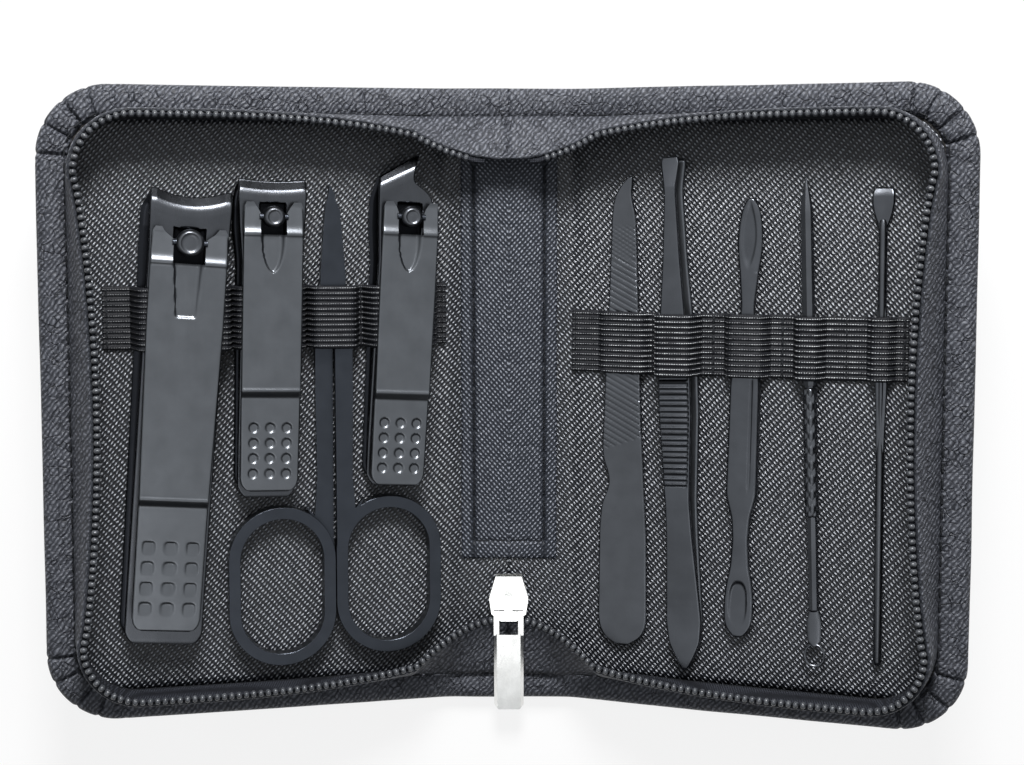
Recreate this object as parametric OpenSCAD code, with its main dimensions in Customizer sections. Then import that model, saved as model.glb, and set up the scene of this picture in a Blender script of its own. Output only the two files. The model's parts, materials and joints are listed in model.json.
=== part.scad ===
// Zip-up manicure set case, lying open with its interior up and its tools in place.
// Origin: centre of the underside of the spine. +X runs across both covers, +Y along
// the spine towards the top end of the case, +Z up out of the tray.
// Each cover is drawn in its own tray coordinates: u outward from the hinge line,
// v along the spine, w up from the underside of the cover.

/* [Case] */
// Length of the case along the spine
case_len = 114; // [108:1:124]
// Width of one cover from hinge line to outer edge
cover_w = 73.5; // [72:0.5:80]
// Width of the spine between the two hinge lines
spine_w = 23; // [23:0.5:27]
// Height of the hinge axis over the underside
hinge_z = 1.5; // [1.4:0.1:1.8]
// Corner radius of the covers
corner_r = 13; // [10:1:16]
// Angle of the left cover over the table
left_up = 15; // [5:1:25]
// Angle of the right cover over the table
right_up = 20; // [5:1:25]
// Running gap at each hinge line
hinge_gap = 0.25; // [0.2:0.05:0.4]

/* [Panel] */
// Thickness of the outer skin
skin_t = 0.8; // [0.6:0.1:1]
// Thickness of the stiff board
board_t = 1.2; // [1:0.1:1.4]
// Thickness of the padded lining
lining_t = 0.8; // [0.6:0.1:1]
// Width of the rolled edge
roll_w = 5; // [4:0.5:6]
// Height of the rolled edge
roll_h = 3; // [2.8:0.1:3.2]
// Play between the rolled edge and the layers inside it
roll_gap = 0.1; // [0.05:0.05:0.2]

/* [Zipper wall] */
// Gap between the two rims when the case is shut
rim_gap = 0.3; // [0.2:0.05:0.5]
// Thickness of the outer wall band
wall_t = 0.8; // [0.6:0.1:1]
// Thickness of the zipper tape
tape_t = 0.6; // [0.4:0.1:0.8]
// Play between wall band and tape
tape_gap = 0.1; // [0.05:0.05:0.2]
// Inward lean of the rim at the middle of the long outer side
lean_side = 4; // [2:0.5:5]
// Outward lean of the rim along the top and bottom ends
lean_end = 0.8; // [0:0.1:1.5]
// Inward dip of the rim beside the spine
lean_spine = 3.5; // [2:0.5:5]
// Distance from the hinge line to where the stiff wall starts
wall_start = 8; // [7:0.5:10]
// Tooth pitch
tooth_pitch = 1.3; // [1.2:0.05:1.6]
// Tooth length along the tape
tooth_w = 0.8; // [0.6:0.05:0.9]
// Tooth height
tooth_h = 1.2; // [1:0.1:1.4]
// Tooth thickness across the tape
tooth_t = 1.5; // [1.2:0.1:1.8]

/* [Spine] */
// Width of the padded strip on the spine
strip_w = 17.7; // [15:0.5:18]
// Thickness of the padded strip
strip_t = 0.6; // [0.6:0.1:1]
// Distance from the top end of the case to the strip
strip_in_top = 8; // [8:0.5:14]
// Distance from the bottom end of the case to the strip
strip_in_bottom = 27; // [26:1:32]
// Depth to which the soft bridges dip at the top end
bridge_dip = 8; // [5:0.5:10]
// Distance from the bottom end of the case to the middle of the slider
slider_in = 20.2; // [19:0.2:21]
// Length and width of the slider
slider_l = 8.4; // [8:0.2:9]
slider_w = 7.2; // [7:0.2:9]
// Height of the slider body
slider_h = 3.2; // [3:0.1:3.4]
// Height of the slider body over the table
slider_z = 4.2; // [4:0.1:4.6]
// Length of the pull from its pin
pull_l = 20.3; // [18:0.1:20.6]
// Width of the pull
pull_w = 5.5; // [5:0.1:6.5]
// Thickness of the pull
pull_t = 1.3; // [1:0.1:1.5]
// Slope of the resting pull below level
pull_drop = 12; // [11:0.5:13]

/* [Elastic] */
// Thickness of the elastic bands
elastic_t = 0.7; // [0.5:0.1:0.7]
// Width of the elastic bands
elastic_w = 11.3; // [9:0.1:11.5]
// Middle of the left band along the spine
elastic_left_v = 15.8; // [15:0.2:16.4]
// Middle of the right band along the spine
elastic_right_v = 10.8; // [10:0.2:12]
// Play between a band and the tool it holds
elastic_gap = 0.3; // [0.2:0.05:0.35]
// Play between a tool and the lining below it
rest_gap = 0.2; // [0.1:0.05:0.3]

/* [Clippers] */
// Overall lengths: large, small and slanted clipper
large_len = 81; // [78:0.5:82]
small_len = 57; // [54:0.5:58]
slant_len = 58; // [55:0.5:59]
// Widths of their jaws
large_w = 14.2; // [13:0.2:14.6]
small_w = 12; // [11:0.2:12.4]
slant_w = 11.4; // [10.4:0.2:11.8]
// Thickness of the large clipper's arms
arm_t = 1.4; // [1.2:0.1:1.4]
// Thickness of the small clippers' arms
small_arm_t = 1.2; // [1:0.1:1.2]
// Radius of the posts
post_r = 1.9; // [1.7:0.1:2]
// Running play of the lever's cross bar
pin_play = 0.05; // [0.02:0.01:0.08]
// Play of a post in its two arms
post_play = 0.15; // [0.1:0.05:0.2]
// Angle to which a resting lever can be lifted
lever_lift = 30; // [20:1:30]

/* [Scissors] */
// Length from pivot to blade tip
blade_l = 22.8; // [20:0.2:23.6]
// Width of a finger ring
ring_w = 19.4; // [18:0.2:19.6]
// Length of a finger ring
ring_l = 29; // [26:0.5:29.5]
// Width of the ring's bar
ring_bar = 2.1; // [1.8:0.1:2.4]
// Thickness of one blade
blade_t = 1.6; // [1.4:0.1:1.6]

/* [Long tools] */
// Thickness of the nail file
file_t = 1.2; // [1:0.1:1.6]
// Thickness of one tweezer arm
tweezer_t = 1; // [0.8:0.1:1]
// Spread of the tweezer arms
tweezer_gap = 2.6; // [2:0.1:2.8]
// Thickness of the cuticle pusher's grip
pusher_t = 2.6; // [2:0.1:3]
// Radius of the needle's grip
needle_r = 1.3; // [1.25:0.05:1.5]
// Radius of the needle's wire loop
loop_r = 1.9; // [1.6:0.1:2.1]
// Radius of the loop's wire
loop_wire = 0.25; // [0.2:0.05:0.3]
// Radius of the ear pick's shaft
pick_r = 0.78; // [0.6:0.02:0.9]

/* [Hidden] */
$fn = 40;
e = 0.01;
hx = spine_w / 2;
half_l = case_len / 2;
panel_t = skin_t + board_t + lining_t;
rim_w = hx + hinge_z - rim_gap;
slider_y = slider_in - half_l;
strip_top = half_l - strip_in_top;
strip_bottom = strip_in_bottom - half_l;
floor_w = panel_t + rest_gap;
wall_in = roll_w + roll_gap;
wall_l = half_l - wall_in;
wall_u = cover_w - wall_in;
wall_r = corner_r - wall_in + 3;
wall_top = rim_w - tooth_h;
n_end = 8;
n_arc = 6;
n_side = 14;

// Tray coordinates to the case's frame, as modules and as functions.
module cover_at(up) {
  translate([hx, 0, hinge_z]) rotate([0, -up, 0]) translate([0, 0, -hinge_z]) children();
}
module left_side() { mirror([1, 0, 0]) cover_at(left_up) children(); }
module right_side() { cover_at(right_up) children(); }
function on_cover(side, up, p) = [
  side * (hx + p[0] * cos(up) - (p[2] - hinge_z) * sin(up)),
  p[1],
  hinge_z + p[0] * sin(up) + (p[2] - hinge_z) * cos(up)];

// A closed solid skinned over rings of equal length. "turn" cuts its quads the other way.
module skin_over(rings, turn = false) {
  n = len(rings);
  m = len(rings[0]);
  pts = [for (r = rings) for (p = r) p];
  sides = [for (i = [0:n - 2]) for (j = [0:m - 1]) for (t = [0:1])
    let (a = i * m + j, b = i * m + (j + 1) % m, c = a + m, d = b + m)
    turn ? (t == 0 ? [a, b, c] : [b, d, c]) : (t == 0 ? [a, b, d] : [a, d, c])];
  cap0 = [for (j = [m - 1:-1:0]) j];
  cap1 = [for (j = [0:m - 1]) (n - 1) * m + j];
  polyhedron(points = pts, faces = concat(sides, [cap0, cap1]), convexity = 8);
}

// Outline of one cover in tray coordinates, drawn in by "inset".
module cover_outline(inset, u0) {
  r = corner_r - inset;
  w = cover_w - inset;
  l = half_l - inset;
  translate([u0, -l]) square([w - r - u0, 2 * l]);
  translate([w - r - e, -(l - r)]) square([r + e, 2 * (l - r)]);
  for (s = [-1, 1]) translate([w - r, s * (l - r)]) circle(r = r);
}

// A section swept round the three outer edges: section x is the distance in from the edge.
module edge_sweep(u0) {
  r = corner_r;
  translate([u0, half_l, 0]) mirror([0, 1, 0]) rotate([90, 0, 90])
    linear_extrude(height = cover_w - r - u0) children();
  translate([u0, -half_l, 0]) rotate([90, 0, 90])
    linear_extrude(height = cover_w - r - u0) children();
  translate([cover_w, -(half_l - r), 0]) rotate([90, 0, 180])
    linear_extrude(height = 2 * (half_l - r)) children();
  translate([cover_w - r, half_l - r, 0]) rotate_extrude(angle = 90)
    translate([r, 0]) mirror([1, 0]) children();
  translate([cover_w - r, -(half_l - r), 0]) rotate([0, 0, -90]) rotate_extrude(angle = 90)
    translate([r, 0]) mirror([1, 0]) children();
}
module roll_section() {
  translate([roll_h / 2, roll_h / 2]) circle(d = roll_h);
  translate([roll_h / 2, 0]) square([roll_w - roll_h / 2, roll_h]);
}

module cover_skin() {
  linear_extrude(height = skin_t) cover_outline(roll_w, hinge_gap);
}
module cover_board() {
  translate([0, 0, skin_t]) linear_extrude(height = board_t)
    cover_outline(roll_w, hinge_gap + skin_t + board_t - hinge_z + 0.2);
}
module cover_lining() {
  translate([0, 0, skin_t + board_t]) linear_extrude(height = lining_t)
    cover_outline(roll_w, hinge_gap + panel_t - hinge_z + 0.2);
}
// Everything above the hinge axis is cut back at 45 degrees, so that the cover can close.
module mitre() {
  translate([hinge_gap, -case_len, hinge_z]) rotate([0, -45, 0])
    translate([-2, 0, 0]) cube([20, 2 * case_len, 20]);
}
module cover_roll() {
  difference() {
    edge_sweep(hinge_gap) roll_section();
    mitre();
  }
}

// Stations of the zipper wall: [foot u, foot v, inward u, inward v, inward lean of the rim].
function spine_lean(t) = -lean_end + (lean_end + lean_spine) * pow(1 - t, 3);
function end_stations(s) = [for (i = [0:n_end]) let (t = i / n_end)
  [wall_start + (wall_u - wall_r - wall_start) * t, s * wall_l, 0, -s, spine_lean(t)]];
function arc_stations(s) = [for (i = [1:n_arc - 1]) let (t = i / n_arc, a = 90 * (1 - t))
  [wall_u - wall_r + wall_r * cos(a), s * (wall_l - wall_r + wall_r * sin(a)),
   -cos(a), -s * sin(a), -lean_end * (1 - t)]];
function side_stations() = [for (i = [0:n_side]) let (t = i / n_side)
  [wall_u, (wall_l - wall_r) * (1 - 2 * t), -1, 0, lean_side * pow(sin(180 * t), 0.7)]];
function back(l) = [for (i = [len(l) - 1:-1:0]) l[i]];
stations = concat(end_stations(1), arc_stations(1), side_stations(),
  back(arc_stations(-1)), back(end_stations(-1)));
// A point of the wall: station k, height w, distance d in from the outer face.
function wall_lean(w) = pow(max(0, (w - panel_t) / (rim_w - panel_t)), 1.4);
function wall_point(k, w, d) = let (s = stations[k], o = d + s[4] * wall_lean(w))
  [s[0] + s[2] * o, s[1] + s[3] * o, w];
function wall_ring(k, ws, d, t) = concat([for (w = ws) wall_point(k, w, d)],
  [for (w = back(ws)) wall_point(k, w, d + t)]);

module cover_wall() {
  ws = [panel_t, panel_t + 3, panel_t + 6, wall_top - 0.4];
  skin_over([for (k = [0:len(stations) - 1]) wall_ring(k, ws, 0, wall_t)]);
}
module cover_tape() {
  ws = [panel_t + 3, panel_t + 6, wall_top - 0.4, wall_top];
  skin_over([for (k = [0:len(stations) - 1]) wall_ring(k, ws, wall_t + tape_gap, tape_t)], true);
}
rim = [for (k = [0:len(stations) - 1])
  wall_point(k, wall_top, wall_t + tape_gap + tape_t / 2)];
rim_s = [for (i = 0, s = 0; i < len(rim);
  s = s + (i < len(rim) - 1 ? norm(rim[i + 1] - rim[i]) : 0), i = i + 1) s];
rim_x = [for (i = [0:len(rim) - 1]) [rim_s[i], rim[i][0]]];
rim_y = [for (i = [0:len(rim) - 1]) [rim_s[i], rim[i][1]]];
module tooth() {
  translate([-tooth_w / 2, -tooth_t / 2, 0]) cube([tooth_w, tooth_t, tooth_h]);
}
module cover_teeth() {
  total = rim_s[len(rim) - 1];
  n = floor((total - 1) / tooth_pitch);
  for (i = [0:n - 1]) {
    s = 0.5 + tooth_pitch * (i + 0.5);
    a = atan2(lookup(s + 0.5, rim_y) - lookup(s - 0.5, rim_y),
      lookup(s + 0.5, rim_x) - lookup(s - 0.5, rim_x));
    translate([lookup(s, rim_x), lookup(s, rim_y), wall_top]) rotate([0, 0, a]) tooth();
  }
}

// Spine.
module spine_slab(w, l, z, t) { translate([-w / 2, -l / 2, z]) cube([w, l, t]); }
board_w = spine_w - 2 * (hinge_gap + skin_t + board_t - hinge_z + 0.2);
spine_lining_w = spine_w - 2 * (hinge_gap + panel_t - hinge_z + 0.2);
inner_len = case_len - 2 * roll_w;
module spine_skin() {
  color([0.06, 0.065, 0.075]) spine_slab(spine_w - 2 * hinge_gap, inner_len, 0, skin_t);
}
module spine_board() {
  color([0.35, 0.33, 0.3]) spine_slab(board_w, inner_len, skin_t, board_t);
}
module spine_lining() {
  color([0.05, 0.05, 0.055])
    spine_slab(spine_lining_w, inner_len, skin_t + board_t, lining_t);
}
module spine_strip() {
  color([0.06, 0.065, 0.07]) {
    translate([-strip_w / 2, strip_bottom, panel_t])
      cube([strip_w, strip_top - strip_bottom, strip_t]);
    translate([-strip_w / 2, strip_bottom, panel_t + strip_t / 2])
      rotate([0, 90, 0]) cylinder(h = strip_w, d = strip_t);
  }
}
module spine_rolls() {
  w = spine_w - 2 * hinge_gap;
  color([0.06, 0.065, 0.075]) difference() {
    for (s = [0, 1]) mirror([0, s, 0]) translate([-w / 2, -half_l, 0]) rotate([90, 0, 90])
      linear_extrude(height = w) roll_section();
    for (s = [0, 1]) mirror([s, 0, 0]) translate([-hx, 0, 0]) mitre();
  }
}

// Soft bridges carry the wall across the spine from one cover to the other.
function mix(a, b, t) = a * (1 - t) + b * t;
function bez(a, b, c, t) = mix(mix(a, b, t), mix(b, c, t), t);
n_bridge = 10;
bridge_gap = 0.3;
foot_z = panel_t + 0.6;
function end_point(side, up, s, w) = let (k = s > 0 ? 0 : len(stations) - 1,
  p = wall_point(k, w, wall_t / 2)) on_cover(side, up, [p[0] - bridge_gap, p[1], p[2]]);
function bridge_point(s, w, mid, t) = bez(end_point(-1, left_up, s, w), mid,
  end_point(1, right_up, s, w), t);
module bridge(s, foot, rim_mid) {
  skin_over([for (i = [0:n_bridge]) let (t = i / n_bridge,
    a = bridge_point(s, panel_t + 0.3, foot, t), b = bridge_point(s, wall_top - 0.4, rim_mid, t),
    d = b - a, o = [0, d[2], -d[1]] / norm([d[1], d[2]]) * wall_t / 2)
    s > 0 ? [a - o, b - o, b + o, a + o] : [a + o, b + o, b - o, a - o]]);
}
top_foot = [0, wall_l, 1.6];
top_rim = [0, wall_l - bridge_dip * 1.6, 5];
bottom_foot = [0, -wall_l, 1.6];
bottom_y = slider_y - slider_l / 2 - 0.8;
bottom_rim = [0, bottom_y * 2 + wall_l - lean_spine + 1.2, -0.7];
module top_bridge() { color([0.06, 0.065, 0.075]) bridge(1, top_foot, top_rim); }
module bottom_bridge() {
  color([0.06, 0.065, 0.075]) bridge(-1, bottom_foot, bottom_rim);
}
module lead_teeth() {
  n = 30;
  color([0.16, 0.17, 0.18]) for (i = [1:n - 1]) {
    t = i / n;
    p = bridge_point(-1, wall_top - 0.4, bottom_rim, t);
    q = bridge_point(-1, wall_top - 0.4, bottom_rim, t + 0.01);
    if (abs(p[0]) > slider_w / 2 + 0.7)
      translate(p + [0, 0, 0.75]) rotate([0, 0, atan2(q[1] - p[1], q[0] - p[0])]) tooth();
  }
}

// Slider: two plates joined by a wedge, two side flanges and the bow for the pull.
pin_y = slider_y - 1.6;
pin_z = slider_z + slider_h + 0.9;
bow_t = 0.7;
bow_back = 1.7;
bow_front = 1.9;
module shield() {
  polygon([[-slider_w * 0.33, slider_l / 2], [slider_w * 0.33, slider_l / 2],
    [slider_w / 2, 0], [slider_w * 0.44, -slider_l * 0.34], [slider_w * 0.2, -slider_l / 2],
    [-slider_w * 0.2, -slider_l / 2], [-slider_w * 0.44, -slider_l * 0.34],
    [-slider_w / 2, 0]]);
}
module zipper_slider() {
  plate = slider_h * 0.28;
  color([0.8, 0.81, 0.83]) translate([0, slider_y, slider_z]) {
    linear_extrude(height = plate) shield();
    translate([0, 0, slider_h - plate]) linear_extrude(height = plate) shield();
    translate([0, -slider_l * 0.2, plate - e])
      cylinder(h = slider_h - 2 * plate + 2 * e, r = slider_w * 0.13);
    for (s = [-1, 1]) translate([s * slider_w * 0.4 - 0.4, -1.2, plate - e])
      cube([0.8, 2.6, slider_h - 2 * plate + 2 * e]);
    for (y = [-bow_back, bow_front]) translate([-0.7, pin_y - slider_y + y, slider_h - e])
      cube([1.4, 0.8, 1.9]);
    translate([-0.7, pin_y - slider_y - bow_back, slider_h + 1.8])
      cube([1.4, bow_back + bow_front + 0.8, bow_t]);
  }
}
module zipper_pull() {
  eye = pull_w - 1.6;
  color([0.85, 0.86, 0.88]) translate([0, pin_y, pin_z]) rotate([pull_drop, 0, 0]) {
    translate([-pull_w / 2, 0, 0]) rotate([0, 90, 0]) cylinder(h = pull_w, r = 0.55);
    for (s = [-1, 1]) translate([s * (pull_w / 2 - 0.5) - 0.5, -5.2, -0.35])
      cube([1, 5.2, 0.85]);
    difference() {
      translate([-pull_w / 2, -pull_l, -pull_t / 2])
        cube([pull_w, pull_l - 5, pull_t]);
      for (s = [-1, 1]) translate([s * pull_w / 2, -pull_l - 1, pull_t / 2])
        rotate([0, 45, 0]) cube([0.8, 2 * pull_l, 0.8], center = true);
      for (s = [-1, 1]) translate([s * pull_w / 2, -pull_l, 0])
        rotate([0, 0, 45]) cube([1.2, 1.2, 2 * pull_t], center = true);
    }
  }
}

// Elastic bands: a strip that climbs over each tool and is stitched down between them.
// Each pocket is [middle u, half width, height over the lining].
band_foot = 0.75;
band_round = 0.35;
function over(p, t) = let (h = p[2] + rest_gap + elastic_gap, w = p[1] + elastic_gap)
  [[p[0] - w - band_foot, 0], [p[0] - w - t, h * 0.6], [p[0] - w + band_round, h + t],
   [p[0] + w - band_round, h + t], [p[0] + w + t, h * 0.6], [p[0] + w + band_foot, 0]];
function band_line(pockets, u0, u1, t) = concat([[u0, 0]],
  [for (p = pockets) for (q = over(p, t)) q], [[u1, 0]]);
module band(pockets, u0, u1, v) {
  low = band_line(pockets, u0, u1, 0);
  high = [for (q = band_line(pockets, u0, u1, elastic_t)) [q[0], q[1] + (q[1] == 0 ? elastic_t : 0)]];
  translate([0, v + elastic_w / 2, panel_t]) rotate([90, 0, 0])
    linear_extrude(height = elastic_w) polygon(concat(low, back(high)));
}

// Places of the tools: [u of the working end, v of it, lean in degrees].
// The two small clippers end a named gap above the finger rings.
large_at = [46.9, 38.2, 4.5];
scissor_at = [21.8, 39.3, 0];
ring_drop = 49;
ring_skew = 0.7;
small_above_ring = 1.92;
slant_above_ring = 1.79;
function ring_top(drop) = scissor_at[1] - blade_l - drop + ring_l / 2;
small_at = [32.7, ring_top(ring_drop + ring_skew) + small_above_ring + small_len * cos(1.6), 1.6];
slant_at = [7.8, ring_top(ring_drop - ring_skew) + slant_above_ring + slant_len * cos(3.2), 3.2];
file_at = [10.8, 40.7, 0.1];
tweezer_at = [20, 44.3, 2];
pusher_at = [34.5, 37, -1.2];
needle_at = [44.1, 40.8, 1.9];
pick_at = [57.55, 38.9, 0.3];
function u_at(at, v) = at[0] + (at[1] - v) * tan(at[2]);
module tool(at) { translate([at[0], at[1], floor_w]) rotate([0, 0, at[2]]) children(); }

// Clippers. Each is [length, jaw edge to post, jaw width, rear width, lever width at
// the front, lever width at the end, lever end, bend, arm thickness, arm height at the
// post, slant of the jaw edge, square dimples].
large_rear_w = large_w - 0.4;
large = [large_len, 9, large_w, large_rear_w, large_w - 0.8, large_w - 2.2, large_len - 3.2,
  large_len * 0.67, arm_t, 6, 0, true];
small = [small_len, 6.5, small_w, small_w - 1.4, small_w - 1.4, small_w - 1.6,
  small_len - 1.6, small_len * 0.655, small_arm_t, 5.1, 0, false];
slant = [slant_len, 8.8, slant_w, slant_w - 1.2, slant_w - 1.2, slant_w - 1.6,
  slant_len - 0.5, slant_len * 0.7, small_arm_t, 5.1, 2.4, false];
lever_t = 1.2;
function lever_z(c) = c[9] + elastic_t + 2 * elastic_gap;
function pin_height(c) = lever_z(c) + lever_t / 2;
pin_r = 0.6;
module along_x(w) { rotate([90, 0, 90]) translate([0, 0, -w / 2]) linear_extrude(height = w) children(); }

// All clipper parts are drawn with the post at the origin and the jaw towards +y.
module clipper_plan(c) {
  jl = c[1];
  w = c[2] / 2;
  r = c[3] / 2;
  y = jl - c[0];
  polygon([[-w, jl + c[10]], [w, jl - c[10]], [w, jl - c[10] - 3], [w - 0.5, -2],
    [r, -8], [r, y + 2], [r - 1.6, y], [1.6 - r, y], [-r, y + 2], [-r, -8], [0.5 - w, -2],
    [-w, jl + c[10] - 3]]);
}
module jaw_edge(c) {
  if (c[11]) translate([0, c[1] + 14.2, -1]) cylinder(h = 30, r = 15.4);
}
module lower_arm(c) {
  jl = c[1] + c[10];
  t = c[8];
  y = c[1] - c[0];
  h = c[9];
  difference() {
    intersection() {
      along_x(c[2] + 1) polygon([[y - 1, 0], [jl * 0.35, 0], [jl * 0.8, h * 0.12],
        [jl + 0.1, h * 0.44], [jl + 0.1, h * 0.55], [jl - 0.9, h * 0.55],
        [jl * 0.68, h * 0.12 + t], [jl * 0.25, t], [y - 1, t]]);
      translate([0, 0, -1]) linear_extrude(height = 20) clipper_plan(c);
    }
    jaw_edge(c);
    translate([0, 0, -1]) cylinder(h = 5, r = post_r + post_play);
  }
}
module upper_arm(c) {
  jl = c[1] + c[10];
  t = c[8];
  y = c[1] - c[0];
  h = c[9];
  difference() {
    intersection() {
      along_x(c[2] + 1) polygon([[y - 1, t + 0.1], [y + 9, t + 0.1], [-5, h - t],
        [jl * 0.5, h - t - 0.1], [jl - 0.9, h * 0.7], [jl + 0.1, h * 0.7],
        [jl + 0.1, h * 0.82], [jl * 0.72, h], [-5, h], [y + 9, 2 * t + 0.1],
        [y - 1, 2 * t + 0.1]]);
      translate([0, 0, -1]) linear_extrude(height = 20) clipper_plan(c);
    }
    jaw_edge(c);
    translate([0, 0, 2]) cylinder(h = 9, r = post_r + post_play);
  }
}
module post(c) {
  top = lever_z(c) + lever_t + 0.8;
  difference() {
    cylinder(h = top, r = post_r);
    translate([0, 0, pin_height(c)]) rotate([0, 90, 0])
      cylinder(h = 3 * post_r, r = pin_r + pin_play, center = true);
  }
}
module lever(c) {
  z = lever_z(c);
  bend = c[1] - c[7];
  end = c[1] - c[6];
  w = c[4] / 2;
  v = c[5] / 2;
  slot = post_r + 0.35;
  drop = 0.9;
  difference() {
    intersection() {
      along_x(c[4] + 1) polygon([[2.6, z + 0.75], [2.6, z + lever_t], [bend, z + lever_t],
        [bend - 2, z + lever_t - drop], [end - 1, z + lever_t - drop - 0.4],
        [end - 1, z - drop - 0.4], [bend - 2, z - drop], [bend, z], [0.4, z]]);
      linear_extrude(height = 20) polygon([[-w * 0.8, 2.6], [w * 0.8, 2.6], [w, -2],
        [w, -14], [v + 0.1, bend], [v, end + 2], [v - 1.8, end], [1.8 - v, end],
        [-v, end + 2], [-v - 0.1, bend], [-w, -14], [-w, -2]]);
    }
    translate([-slot, -slot - 0.5, 0]) cube([2 * slot, slot + 4.5, 20]);
    translate([0, 0, z + lever_t - 0.3]) linear_extrude(height = 2)
      polygon([for (i = [-8:8]) [i * 0.3, -8 - slot + 0.07 * i * i]]);
    for (i = [-1:1], j = [0:3]) translate([i * v * 0.55, end + 3.2 + j * (bend - end - 7) / 3, 0])
      if (c[11]) translate([-1.3, -0.8, z - drop + lever_t - 0.55]) cube([2.6, 1.6, 2]);
      else translate([0, 0, z - drop + lever_t - 0.55]) cylinder(h = 2, r = 0.85, $fn = 24);
  }
  translate([0, 0, pin_height(c)]) rotate([0, 90, 0])
    cylinder(h = 2 * slot + 0.6, r = pin_r, center = true);
}
module clipper_at(at, c) { tool(at) translate([0, -c[1], 0]) children(); }

// Scissors, closed, with the pivot at the origin and the tips towards +y.
half_gap = 0.1;
scissor_h = 2 * blade_t + half_gap;
pivot_y = blade_l;
screw_r = 1.2;
module finger_ring() {
  rc = (ring_w - ring_bar) / 2;
  st = (ring_l - ring_w) / 2;
  h = scissor_h - 0.3;
  module bar() {
    intersection() {
      circle(r = h * 0.6);
      translate([-ring_bar / 2, -h / 2]) square([ring_bar, h]);
    }
  }
  for (s = [0, 1]) rotate([0, 0, 180 * s]) translate([0, st, 0])
    rotate_extrude(angle = 180) translate([rc, 0]) bar();
  for (s = [-1, 1]) translate([s * rc, st, 0]) rotate([90, 0, 0])
    linear_extrude(height = 2 * st) bar();
}
module scissor_half(s, z0, drop) {
  difference() {
    union() {
      translate([0, 0, z0]) linear_extrude(height = blade_t) {
        polygon([[-s * 2.5, -1.5], [-s * 2.4, blade_l * 0.3], [-s * 1.5, blade_l * 0.8],
          [0.5, blade_l], [s * 0.3, blade_l * 0.93], [s * 1.9, blade_l * 0.3], [s * 2.2, -1.5]]);
        circle(r = 3.2);
        polygon([[s * 0.1, 0], [s * 3.2, 0], [s * 3.3, -14], [s * 3.1, -30],
          [s * 3.6, ring_l / 2 - drop - 2], [s * 5.4, ring_l / 2 - drop + 0.1],
          [s * 3, ring_l / 2 - drop - 4], [s * 1.9, ring_l / 2 - drop - 9],
          [s * 0.2, ring_l / 2 - drop - 9]]);
      }
      translate([s * (ring_w / 2 + half_gap), -drop, scissor_h / 2]) finger_ring();
    }
    translate([0, 0, -1]) cylinder(h = 9, r = screw_r + 0.05);
  }
}
module scissor_place() { tool(scissor_at) translate([0, -pivot_y, 0]) children(); }

module scissor_lower_half() {
  color([0.09, 0.09, 0.1]) left_side() scissor_place() scissor_half(1, 0, ring_drop + ring_skew);
}
module scissor_upper_half() {
  color([0.09, 0.09, 0.1]) left_side() scissor_place()
    scissor_half(-1, blade_t + half_gap, ring_drop - ring_skew);
}
module scissor_screw() {
  color([0.2, 0.2, 0.21]) left_side() scissor_place() difference() {
    union() {
      translate([0, 0, 0.1]) cylinder(h = scissor_h, r = screw_r);
      translate([0, 0, scissor_h + 0.02]) cylinder(h = 0.6, r = 2);
    }
    translate([-0.3, -3, scissor_h + 0.35]) cube([0.6, 6, 1]);
  }
}

module nail_file() {
  color([0.12, 0.12, 0.13]) right_side() tool(file_at) linear_extrude(height = file_t) {
    polygon([[1.1, 0], [0.4, -0.4], [-0.5, -1.5], [-1.3, -2.8], [-1.9, -4.4], [-2.2, -7.4],
      [-2.7, -22], [-3.4, -37], [-3.9, -49], [-3.7, -51.4], [-2.7, -54.1], [-2.6, -56.2],
      [-4, -59.8], [-4.4, -64], [-4.6, -81.4], [4.6, -81.4], [4.5, -66], [3.4, -44],
      [2.8, -22], [2.4, -9.8], [2.1, -6.2], [1.6, -4.4], [1.4, -3], [1.5, -1.5], [1.6, -0.4]]);
    translate([0, -81.4]) intersection() {
      circle(r = 4.6);
      translate([-5, -6]) square([10, 6.1]);
    }
  }
}

// Tweezers: two arms joined at the rear, seen on the flat of the upper arm.
tw_rear = -93;
tw_join = -84;
module tweezer_plan() {
  polygon([[-1.7, -1], [-1.2, 0], [1.2, 0], [1.7, -1], [1.1, -5.8], [1.7, -18], [2.4, -29],
    [3.2, -41], [3.2, -46], [2.3, -62], [2.5, -68], [3.3, -84], [2.9, -88], [0.4, tw_rear],
    [-0.4, tw_rear], [-2.9, -88], [-3.3, -84], [-2.5, -68], [-2.3, -62], [-3.2, -46],
    [-3.2, -41], [-2.4, -29], [-1.7, -18], [-1.1, -5.8]]);
}
module tweezer_lower_arm() {
  color([0.07, 0.07, 0.08]) right_side() tool(tweezer_at)
    linear_extrude(height = tweezer_t) tweezer_plan();
}
module tweezer_upper_arm() {
  t = tweezer_t;
  g = tweezer_gap;
  color([0.07, 0.07, 0.08]) right_side() tool(tweezer_at) difference() {
    intersection() {
      along_x(9) polygon([[tw_rear - 1, t + 0.1], [tw_join + 1, t + 0.1], [-60, t + g],
        [-34, t + g], [-6, t + g - 0.5], [1, t + g - 0.6], [1, 2 * t + g - 0.6],
        [-6, 2 * t + g - 0.5], [-34, 2 * t + g], [-60, 2 * t + g],
        [tw_join + 1, 2 * t + 0.1], [tw_rear - 1, 2 * t + 0.1]]);
      linear_extrude(height = 20) tweezer_plan();
    }
    for (i = [0:13]) translate([-6, -43 - i * 1.2, 2 * t + g - 0.15])
      cube([12, 0.55, 1]);
  }
}

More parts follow.
